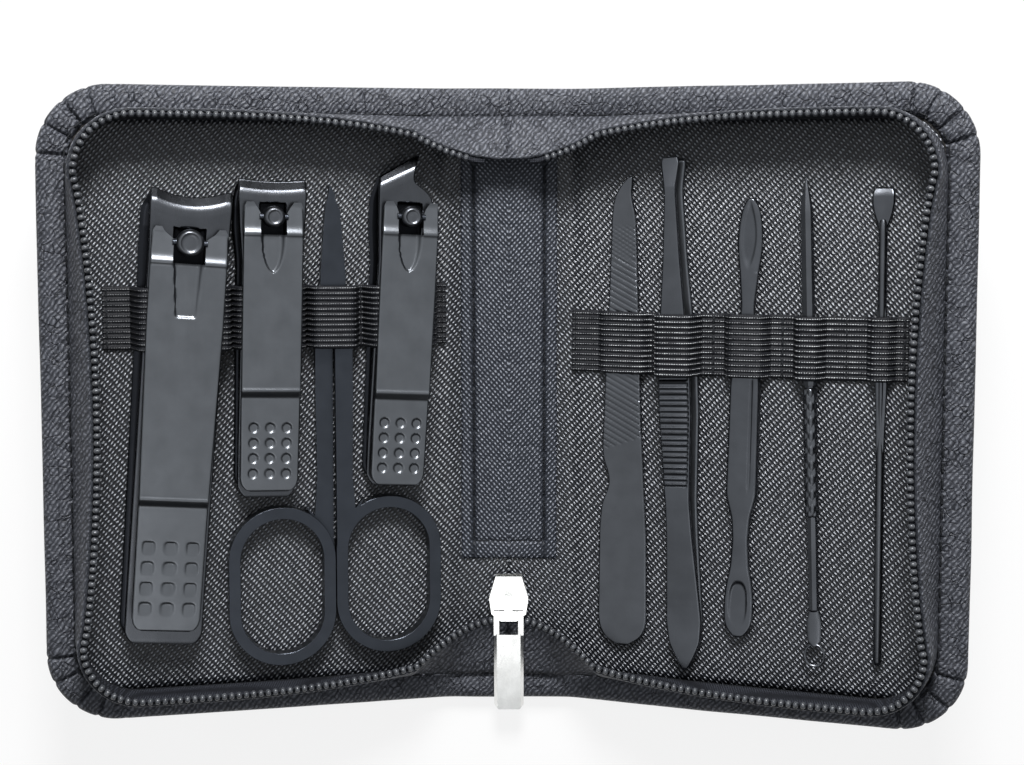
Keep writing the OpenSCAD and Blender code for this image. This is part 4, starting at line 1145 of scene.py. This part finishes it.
# Tools of the file cover
def build_file():
    end = [(-81.4, 4.6), (-83.4, 4.13), (-84.7, 3.2), (-85.5, 2.1), (-85.9, 0.9), (-86, 0.3)]
    left = curve([(0, 1.0), (-0.4, 0.4), (-1.5, -0.5), (-2.8, -1.3), (-4.4, -1.9), (-7.4, -2.2), (-22, -2.7),
                  (-37, -3.4), (-49, -3.9), (-51.4, -3.7), (-54.1, -2.7), (-56.2, -2.6), (-59.8, -4),
                  (-64, -4.4)] + [(y, -x) for y, x in end])
    right = curve([(0, 1.5), (-0.4, 1.62), (-1.5, 1.5), (-3, 1.4), (-4.4, 1.6), (-6.2, 2.1), (-9.8, 2.4),
                   (-22, 2.8), (-44, 3.4), (-66, 4.5)] + end)

    def top(x, y):
        crossed = smooth(-8, -9.5, y) * smooth(-16.5, -14.5, y)
        cut = smooth(-13.5, -15.5, y) * smooth(-48.6 + 0.35 * x, -48.3 + 0.35 * x, y)
        z = 1.2 - 0.07 * crossed * (groove((y - 0.55 * x) / 0.8, 0.16) + groove((y + 0.62 * x) / 0.8, 0.16))
        z -= 0.12 * cut * groove((y + 0.53 * x) / 1.08, 0.13)
        z -= 0.05 * cut * smooth(-38, -40, y) * groove((y - 0.7 * x) / 0.7, 0.15)
        return z - 0.02 * ripple(x, y, 0, 0.2, 71)

    field("nail_file_plate", 1, FILE_AT, steps(-86, 0, 0.16), right, (top, lambda x, y: 0.02), STEEL,
          "file", "nail_file", nx=46, edge=0.3, rim=0.14, left=left)


def build_tweezers():
    half = curve([(0, 1.25), (-0.35, 1.6), (-1, 1.7), (-5.4, 1.08), (-7, 1.05), (-18, 1.55), (-29, 2.3),
                  (-38, 2.95), (-46, 3.0), (-62, 2.25), (-68, 2.4), (-84, 3.3), (-88, 2.9), (-91, 1.6),
                  (-92.6, 0.7), (-93, 0.4)], 0.6)
    under = curve([(1, 3.0), (-6, 3.1), (-34, 3.6), (-60, 3.6), (-83, 1.1), (-94, 1.1)], 3)

    def top(x, y):
        z = under(y) + 1.0 - 0.05 * (x / half(y)) ** 2 - 0.15 * max(0, y + 5.3)
        grip = smooth(-35.2, -35.6, y) * smooth(-59.1, -58.9, y) * smooth(0.25, 0.5, half(y) - x)
        return z - 0.34 * grip * (0.5 - 0.5 * math.cos(2 * math.pi * (y + 58.6) / 1.03)) ** 0.7

    def lower_side(y):
        return half(y) + 0.55 * smooth(-88, -60, y)

    field("tweezer_upper_blade", 1, TWEEZER_AT, steps(-93, 0, 0.16), half,
          (top, lambda x, y: under(y) + 0.02), TOOL, "tweezer_arm", "tweezer_upper_arm",
          nx=26, edge=0.25, rim=0.22)
    # the lower blade takes the brighter steel, painted light
    field("tweezer_lower_blade", 1, TWEEZER_AT, steps(-93, -0.4, 0.4), lower_side,
          (lambda x, y: 0.98 - 0.12 * smooth(0.2, 1.2, x / lower_side(y)), lambda x, y: 0.02), PAINTED_LIGHT_STEEL,
          "tweezers", "tweezer_lower_arm", nx=26, edge=0.35, rim=0.3, left=lambda y: -half(y))


def build_pusher():
    half = curve([(0, 0.45), (-0.5, 1.0), (-2, 1.65), (-4.5, 2.1), (-7.5, 2.28), (-10, 2.15), (-13, 1.75),
                  (-19, 1.2), (-24, 1.6), (-33, 2.6), (-53, 2.75), (-57, 1.72), (-61, 1.45), (-66, 1.75),
                  (-69, 2.35), (-72, 2.7), (-76, 2.66), (-77.6, 2.1), (-78.6, 1.2), (-79, 0.4)])
    thick = curve([(0, 0.4), (-13, 0.45), (-19, 0.75), (-24, 0.9), (-33, 1.3), (-53, 1.3), (-57, 0.85),
                   (-61, 0.8), (-66, 0.6), (-70, 0.45), (-79, 0.4)], 2)

    def top(x, y):
        h = half(y)
        z = PUSHER_H / 2 + thick(y) - 0.08 * (x / h) ** 2
        if y > -13:
            spoon = math.hypot((x + 0.15) / (h * 0.62), (y + 6.4) / 6.0)
            z -= 0.2 * smooth(1.08, 0.7, spoon) + 0.1 * smooth(0.3, 1.0, x / h)
        shank = smooth(-30, -33, y) * smooth(-53, -50, y)
        z -= shank * (0.22 * bell(x - 1.35, 0.16) + 0.1 * smooth(1.2, 1.5, x))
        bowl = ((abs(x + 0.1) / 1.65) ** 2.6 + (abs(y + 72.9) / 4.2) ** 2.6) ** (1 / 2.6)
        return z - 0.42 * smooth(1.06, 0.86, bowl) * smooth(-78, -70, y)

    def low(x, y):
        return PUSHER_H / 2 - thick(y) + 0.12 * (x / half(y)) ** 2

    field("cuticle_pusher_body", 1, PUSHER_AT, steps(-79, 0, 0.22), half, (top, low), TOOL,
          "pusher", "cuticle_pusher", nx=34, edge=0.4, rim=0.26)


def lathe(at, z, prof, m, shape=lambda a, y, r: r):
    """Rings about an axis along y at height z, from rows (y, radius); shape gives the radius at an angle."""
    rings = []
    for y, r in prof:
        spokes = [(a, shape(a, y, r)) for a in circle(m)]
        rings.append([place(1, at, k * math.cos(a), y, z + k * math.sin(a)) for a, k in spokes])
    return rings_mesh(rings)


def power(x, e):
    """The power of the size of x, with the sign of x."""
    return math.copysign(abs(x) ** e, x)


def needle_loop():
    """The ring of wire at the needle's end."""
    rings = []
    for t in circle(56):
        n = Vector((math.sin(t), math.cos(t), 0))
        c = Vector((1.75 * n.x, 1.95 * n.y - 84.9, NEEDLE_R + 0.1 * math.sin(2 * t)))
        wire = [c + n * (0.25 * math.cos(a)) + Vector((0, 0, 0.25 * math.sin(a))) for a in circle(10)]
        rings.append([place(1, NEEDLE_AT, *p) for p in wire])
    return rings_mesh(rings, closed_on_itself=True)


def build_needle():
    def eight(a, y, r):
        return r * (0.93 / math.cos(a % (math.pi / 4) - math.pi / 8))

    def knurl(a, y, r):
        one, other = (abs(math.sin((5 * a + way * 2 * math.pi / 2.6 * y) / 2)) for way in (-1, 1))
        return r - 0.2 * (1 - one ** 0.5 * other ** 0.5) - 0.05 * (1 - max(one, other) ** 5)

    shaft = [(-0.2, 0.1), (-0.6, 0.2), (-2, 0.48), (-4, 0.88), (-5.6, 1.12), (-6.4, 1.17), (-30, 1.2),
             (-36.6, 1.17), (-36.7, 0.9), (-60.4, 0.9), (-60.6, 1.0), (-76.6, 0.97), (-77, 0.7)]
    flat = curve([(-76.4, 0.8), (-77.2, 0.95), (-78.6, 1.3), (-79.6, 1.35), (-82.4, 1.2), (-83, 0.7),
                  (-83.2, 0.4)], 0.2)
    end = [[place(1, NEEDLE_AT, flat(y) * math.cos(a), y, NEEDLE_R + 0.34 * power(math.sin(a), 0.6))
            for a in circle(24)] for y in steps(-76.4, -83.2, 0.25)]
    parts = [lathe(NEEDLE_AT, NEEDLE_R, shaft, 48, eight), rings_mesh(end), needle_loop()]
    o = make("needle_faceted_shaft", merge(parts), STEEL, "needle")
    sharp_edges(o, 32)
    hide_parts("needle_shaft")
    grip = [(-37.0, 1.0), (-37.2, 1.2), (-37.5, 1.29)] + [(y, 1.29) for y in steps(-37.7, -59.3, 0.16)]
    grip += [(-59.5, 1.29), (-59.8, 1.2), (-60, 1.0)]
    turned = lathe(NEEDLE_AT, NEEDLE_R, grip, 80, knurl)
    o = make("needle_knurled_grip", turned, STEEL, "needle")
    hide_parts("needle_grip")


def build_pick():
    z = PICK_R + 0.03
    rod = [(-5.6, 0.5), (-6.2, 0.7), (-8, PICK_R), (-21, PICK_R), (-24, 0.72), (-33, 0.5), (-43, 0.5),
           (-46.5, PICK_R), (-83.2, PICK_R), (-83.8, 0.5), (-84, 0.2)]
    wide = curve([(-20, 0.7), (-22, 0.95), (-30, 1.05), (-34, 1.05), (-45, 0.8), (-47, 0.7)])
    blade = []
    for y in steps(-20, -47, 0.5):
        tall = 0.3 + 0.25 * smooth(-34, -46, y) + 0.25 * smooth(-30, -21, y)
        ring = [(wide(y) * power(math.cos(a), 0.5), tall * power(math.sin(a), 0.5)) for a in circle(28, 0.5)]
        blade.append([place(1, PICK_AT, x, y, z + up) for x, up in ring])
    parts = [lathe(PICK_AT, z, rod, 32), rings_mesh(blade)]
    o = make("ear_pick_rod", merge(parts), STEEL, "ear_pick")
    sharp_edges(o, 60)
    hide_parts("ear_pick")
    half = curve([(0, 1.35), (-0.3, 1.78), (-1.2, 1.93), (-3, 1.88), (-4.8, 1.5), (-6.8, 0.78),
                  (-7.6, 0.6)], 0.4)

    def top(x, y):
        rise = 1.2 - 0.22 * smooth(-3.5, -7.5, y) - 0.3 * max(0, y + 1.6) ** 1.5
        return rise - 0.16 * math.exp(-((x / 1.3) ** 2 + ((y + 3) / 2) ** 2))

    field("ear_pick_spade", 1, PICK_AT, steps(-7.6, 0, 0.12), half,
          (top, lambda x, y: 0.02 + 0.45 * smooth(-3, -7, y)), TOOL, "ear_pick", "ear_pick",
          nx=30, edge=0.3, rim=0.2)


build_file()
build_tweezers()
build_pusher()
build_needle()
build_pick()


# The CAD's own solids
def dress(names, mat, width):
    for name in names:
        o = frame["nodes"][name]
        if isinstance(o, str):
            o = bpy.data.objects[o]
        for s in o.material_slots:
            s.material = mat
        if not o.material_slots:
            o.data.materials.append(mat)
        bevel(o, width)


dress(("scissor_lower_half", "scissor_upper_half", "scissor_screw"), RING, 0.1)
dress(("zipper_slider", "zipper_pull"), CHROME, 0.12)
dress(("left_board", "right_board", "spine_board"), BOARD, 0.05)


# Floor, light, camera
def mix(t, fac, first, second):
    return t.node("ShaderNodeMixShader", links={"Fac": fac, 1: first, 2: second}).outputs["Shader"]


def lit_floor():
    """Nearly white to the camera and in reflections, a pale board to all other light."""
    m = bpy.data.materials.new("white_floor")
    m.use_nodes = True
    t = Tree(m.node_tree)
    grain = t.node("ShaderNodeTexNoise", {"Scale": 30}).outputs["Fac"]
    relief = t.node("ShaderNodeBump", {"Distance": 0.02 * MM}, {"Height": grain}).outputs["Normal"]
    board = m.node_tree.nodes["Principled BSDF"]
    board.inputs["Base Color"].default_value = (0.86, 0.86, 0.86, 1)
    board.inputs["Roughness"].default_value = 0.9
    t.link(relief, board.inputs["Normal"])
    white = t.node("ShaderNodeEmission", {"Color": (1, 1, 1, 1), "Strength": 1.0})
    ray = t.node("ShaderNodeLightPath").outputs
    seen = t.math("MAXIMUM", ray["Is Camera Ray"], ray["Is Glossy Ray"])
    part = t.math("MULTIPLY", t.math("MAXIMUM", seen, ray["Is Transmission Ray"]), 0.85)
    look = mix(t, part, board.outputs["BSDF"], white.outputs["Emission"])
    t.link(look, m.node_tree.nodes["Material Output"].inputs["Surface"])
    return m


def studio():
    """A white backdrop; metal and gloss see a room, brighter on the window's side, dark near the ground."""
    world = bpy.data.worlds.new("studio")
    bpy.context.scene.world = world
    world.use_nodes = True
    t = Tree(world.node_tree)
    plain = world.node_tree.nodes["Background"]
    plain.inputs["Color"].default_value = (0.88, 0.93, 1.0, 1)
    plain.inputs["Strength"].default_value = 0.15
    white = t.node("ShaderNodeBackground", {"Color": (1, 1, 1, 1), "Strength": 1.0})
    where = t.node("ShaderNodeTexCoord").outputs["Generated"]
    axes = t.node("ShaderNodeSeparateXYZ", links={0: where}).outputs

    def grey(axis, *stops):
        return t.ramp(t.math("MULTIPLY_ADD", axes[axis], 0.5, 0.5), [(pos, (v, v, v)) for pos, v in stops])

    along = grey("Y", (0.1, 0.2), (0.64, 1.0), (0.37, 0.95), (0.48, 0.74))
    up = grey("Z", (0.5, 0.12), (0.85, 1.0), (0.7, 0.5))
    room = t.node("ShaderNodeBackground", {"Color": (0.95, 0.98, 1.0, 1)},
                  {"Strength": t.math("MULTIPLY", along, up)})
    ray = t.node("ShaderNodeLightPath").outputs
    shiny = t.math("MAXIMUM", ray["Is Glossy Ray"], ray["Is Transmission Ray"])
    seen = mix(t, shiny, plain.outputs["Background"], room.outputs["Background"])
    look = mix(t, ray["Is Camera Ray"], seen, white.outputs["Background"])
    t.link(look, world.node_tree.nodes["World Output"].inputs["Surface"])


def lamp(name, loc, size, power_w, size_y=None):
    """An area light aimed at the middle of the case; only the first and the last show in gloss."""
    d = bpy.data.lights.new(name, "AREA")
    d.energy = power_w
    d.shape = "RECTANGLE"
    d.size = size
    d.size_y = size_y or size
    o = bpy.data.objects.new(name, d)
    o.location = loc
    o.rotation_euler = (Vector((0, 0, 0.01)) - Vector(loc)).to_track_quat("-Z", "Y").to_euler()
    o.visible_glossy = name in ("key", "glint")
    bpy.context.scene.collection.objects.link(o)


FLOOR_HALF, FLOOR_Z = 3.0, -0.0003
floor_mesh = bpy.data.meshes.new("floor")
corners = [(x * FLOOR_HALF, y * FLOOR_HALF, FLOOR_Z) for x, y in ((-1, -1), (1, -1), (1, 1), (-1, 1))]
floor_mesh.from_pydata(corners, [], [(0, 1, 2, 3)])
floor_mesh.materials.append(lit_floor())
floor = bpy.data.objects.new("floor", floor_mesh)
bpy.context.scene.collection.objects.link(floor)

studio()
lamp("key", (0.012, 0.36, 0.31), 0.14, 3.5)
lamp("left", (-0.6, 0.2, 0.5), 0.25, 0.5)
lamp("right", (0.6, 0.1, 0.5), 0.25, 0.5)
lamp("glint", (-0.005, -0.2, 0.4), 0.1, 0.12, size_y=0.24)

cam_data = bpy.data.cameras.new("camera")
cam_data.sensor_fit = "HORIZONTAL"
cam_data.sensor_width = 36
cam_data.lens = 66.6
cam_data.clip_start = 0.01
cam_data.dof.use_dof = False
cam = bpy.data.objects.new("camera", cam_data)
cam.location = (4.94 * MM, 37.85 * MM, 351.7 * MM)
cam.rotation_euler = (math.radians(-5.71), math.radians(0.72), 0)
bpy.context.scene.collection.objects.link(cam)
bpy.context.scene.camera = cam
bpy.context.scene.view_settings.view_transform = "Standard"
